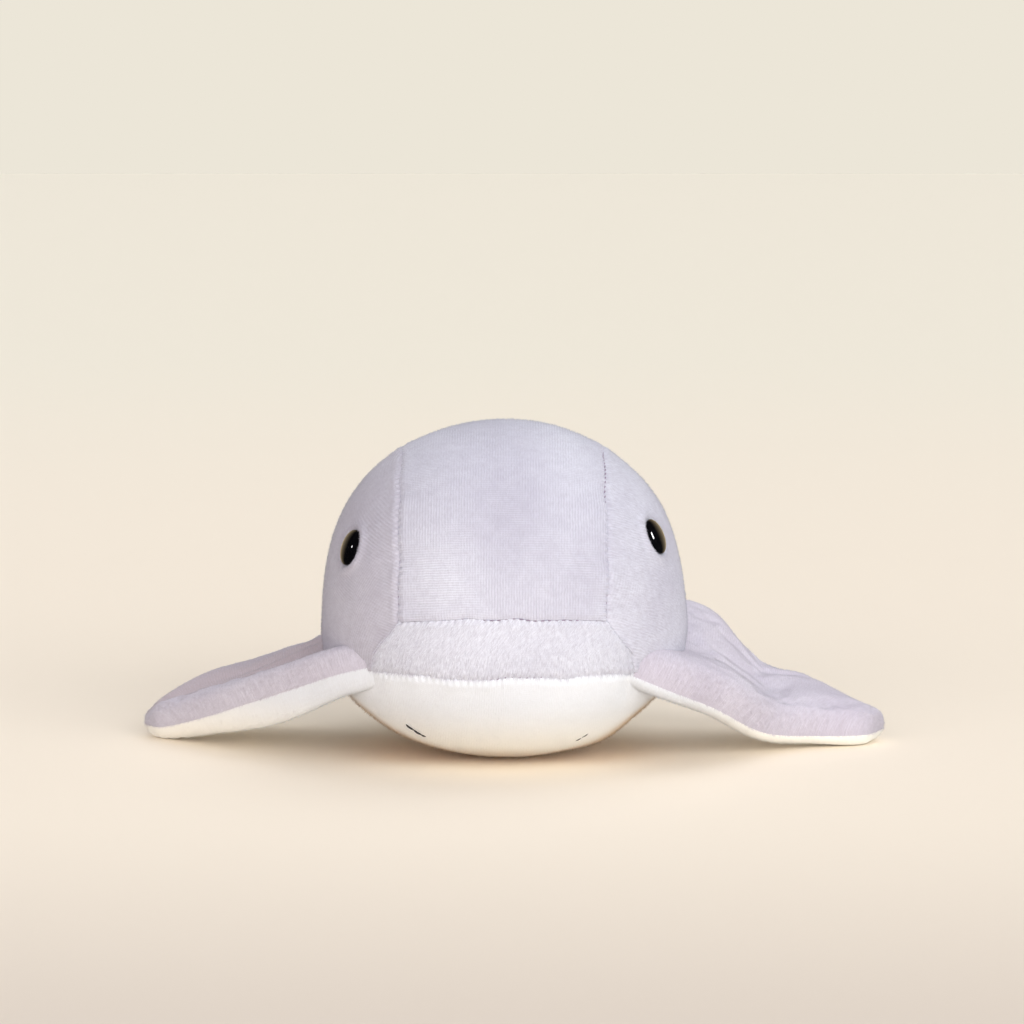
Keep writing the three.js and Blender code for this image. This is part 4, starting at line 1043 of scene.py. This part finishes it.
# Suns: strength, height and turn in degrees, and colour. Eye lights: place, width, height and strength.
LIGHTS = {"front_light": (2.4, 17, 35, "#ffffff"), "top_light": (1.0, 65, 150, "#ffffff"),
          "side_light": (1.35, 11, -30, "#fff4f2")}
LIGHT_SPREAD = 0.9
EYE_LIGHTS = {"left": ((0.959, 0.106, 0.485), 0.13, 0.2, 3.4),
              "right": ((-0.975, 0.226, 0.371), 0.035, 0.045, 0.2)}
EYE_LIGHT_AIM = Vector((0, -0.03, 0.08))
ROOM_STRENGTH, MIRRORED_STRENGTH = 0.34, 1.8
CAMERA_PLACE, CAMERA_DOWN, CAMERA_LENS = (0.00306, -1.18832, 0.21401), 6.0976, 117.1875

# Cream paper: matt and seamless. It is darker and greyer towards the camera, painted shade where the light
# falls off, and a little greener far behind.
floor_finish, node = new_finish("seamless_cream_paper")
away = node("SeparateXYZ", {"Vector": node("TexCoord", out="Object")}, 1)
tone = linear("#e1d5c8")
for start, end, colour in ((-0.5, -0.1, "#fdf2e1"), (0.2, 2.5, "#f8f2e2")):
    share = node("MapRange", {0: away, 1: start, 2: end}, interpolation_type="SMOOTHSTEP")
    tone = node("Mix", {0: share, 6: tone, 7: linear(colour)}, 2, data_type="RGBA")
shader = node("BsdfPrincipled", {"Base Color": tone, "Roughness": 0.95, "Specular IOR Level": 0.1})
node("OutputMaterial", {"Surface": shader})
square = 1000 * FLOOR_REACH * np.array([[-1, -1, 0], [1, -1, 0], [1, 1, 0], [-1, 1, 0]])
floor = piece("table", square, np.array([[0, 1, 2, 3]]), floor_finish)
floor.visible_glossy = False

world = bpy.data.worlds.new("room")
bpy.context.scene.world = world
world.use_nodes = True
world.node_tree.nodes.clear()
node = partial(add, world.node_tree)
room = node("Background", {"Color": linear("#fbfbff"), "Strength": ROOM_STRENGTH})
ahead = node("SeparateXYZ", {"Vector": node("TexCoord", out="Generated")}, 1)
share = node("MapRange", {0: ahead, 1: 0.55, 2: 0.95})
tone = node("Mix", {0: share, 6: linear("#0c0c0d"), 7: linear("#d9c3a0")}, 2, data_type="RGBA")
mirrored = node("Background", {"Color": tone, "Strength": MIRRORED_STRENGTH})
wall = node("Background", {"Color": linear("#ece6d8"), "Strength": 1})
shown = room
for ray, seen in (("Is Glossy Ray", mirrored), ("Is Camera Ray", wall)):
    shown = node("MixShader", {0: node("LightPath", out=ray), 1: shown, 2: seen})
node("OutputWorld", {"Surface": shown})

for name, (energy, rise, turn, colour) in LIGHTS.items():
    lamp = placed(name, bpy.data.lights.new(name, "SUN"))
    lamp.data.energy, lamp.data.angle, lamp.data.color = energy, LIGHT_SPREAD, linear(colour)[:3]
    lamp.rotation_euler = np.radians([90 - rise, 0, turn])
    lamp.visible_glossy = False

for name, (place, wide, high, energy) in EYE_LIGHTS.items():
    lamp = placed(f"{name}_eye_light", bpy.data.lights.new(f"{name}_eye_light", "AREA"))
    lamp.data.shape, lamp.data.size, lamp.data.size_y, lamp.data.energy = "RECTANGLE", wide, high, energy
    lamp.location = place
    lamp.rotation_euler = (EYE_LIGHT_AIM - Vector(place)).to_track_quat("-Z", "Y").to_euler()
    lamp.visible_diffuse = False

camera = placed("camera", bpy.data.cameras.new("camera"))
camera.location = CAMERA_PLACE
camera.rotation_euler = (np.radians(90 - CAMERA_DOWN), 0, 0)
camera.data.lens = CAMERA_LENS
bpy.context.scene.camera = camera
bpy.context.scene.view_settings.view_transform = "Standard"
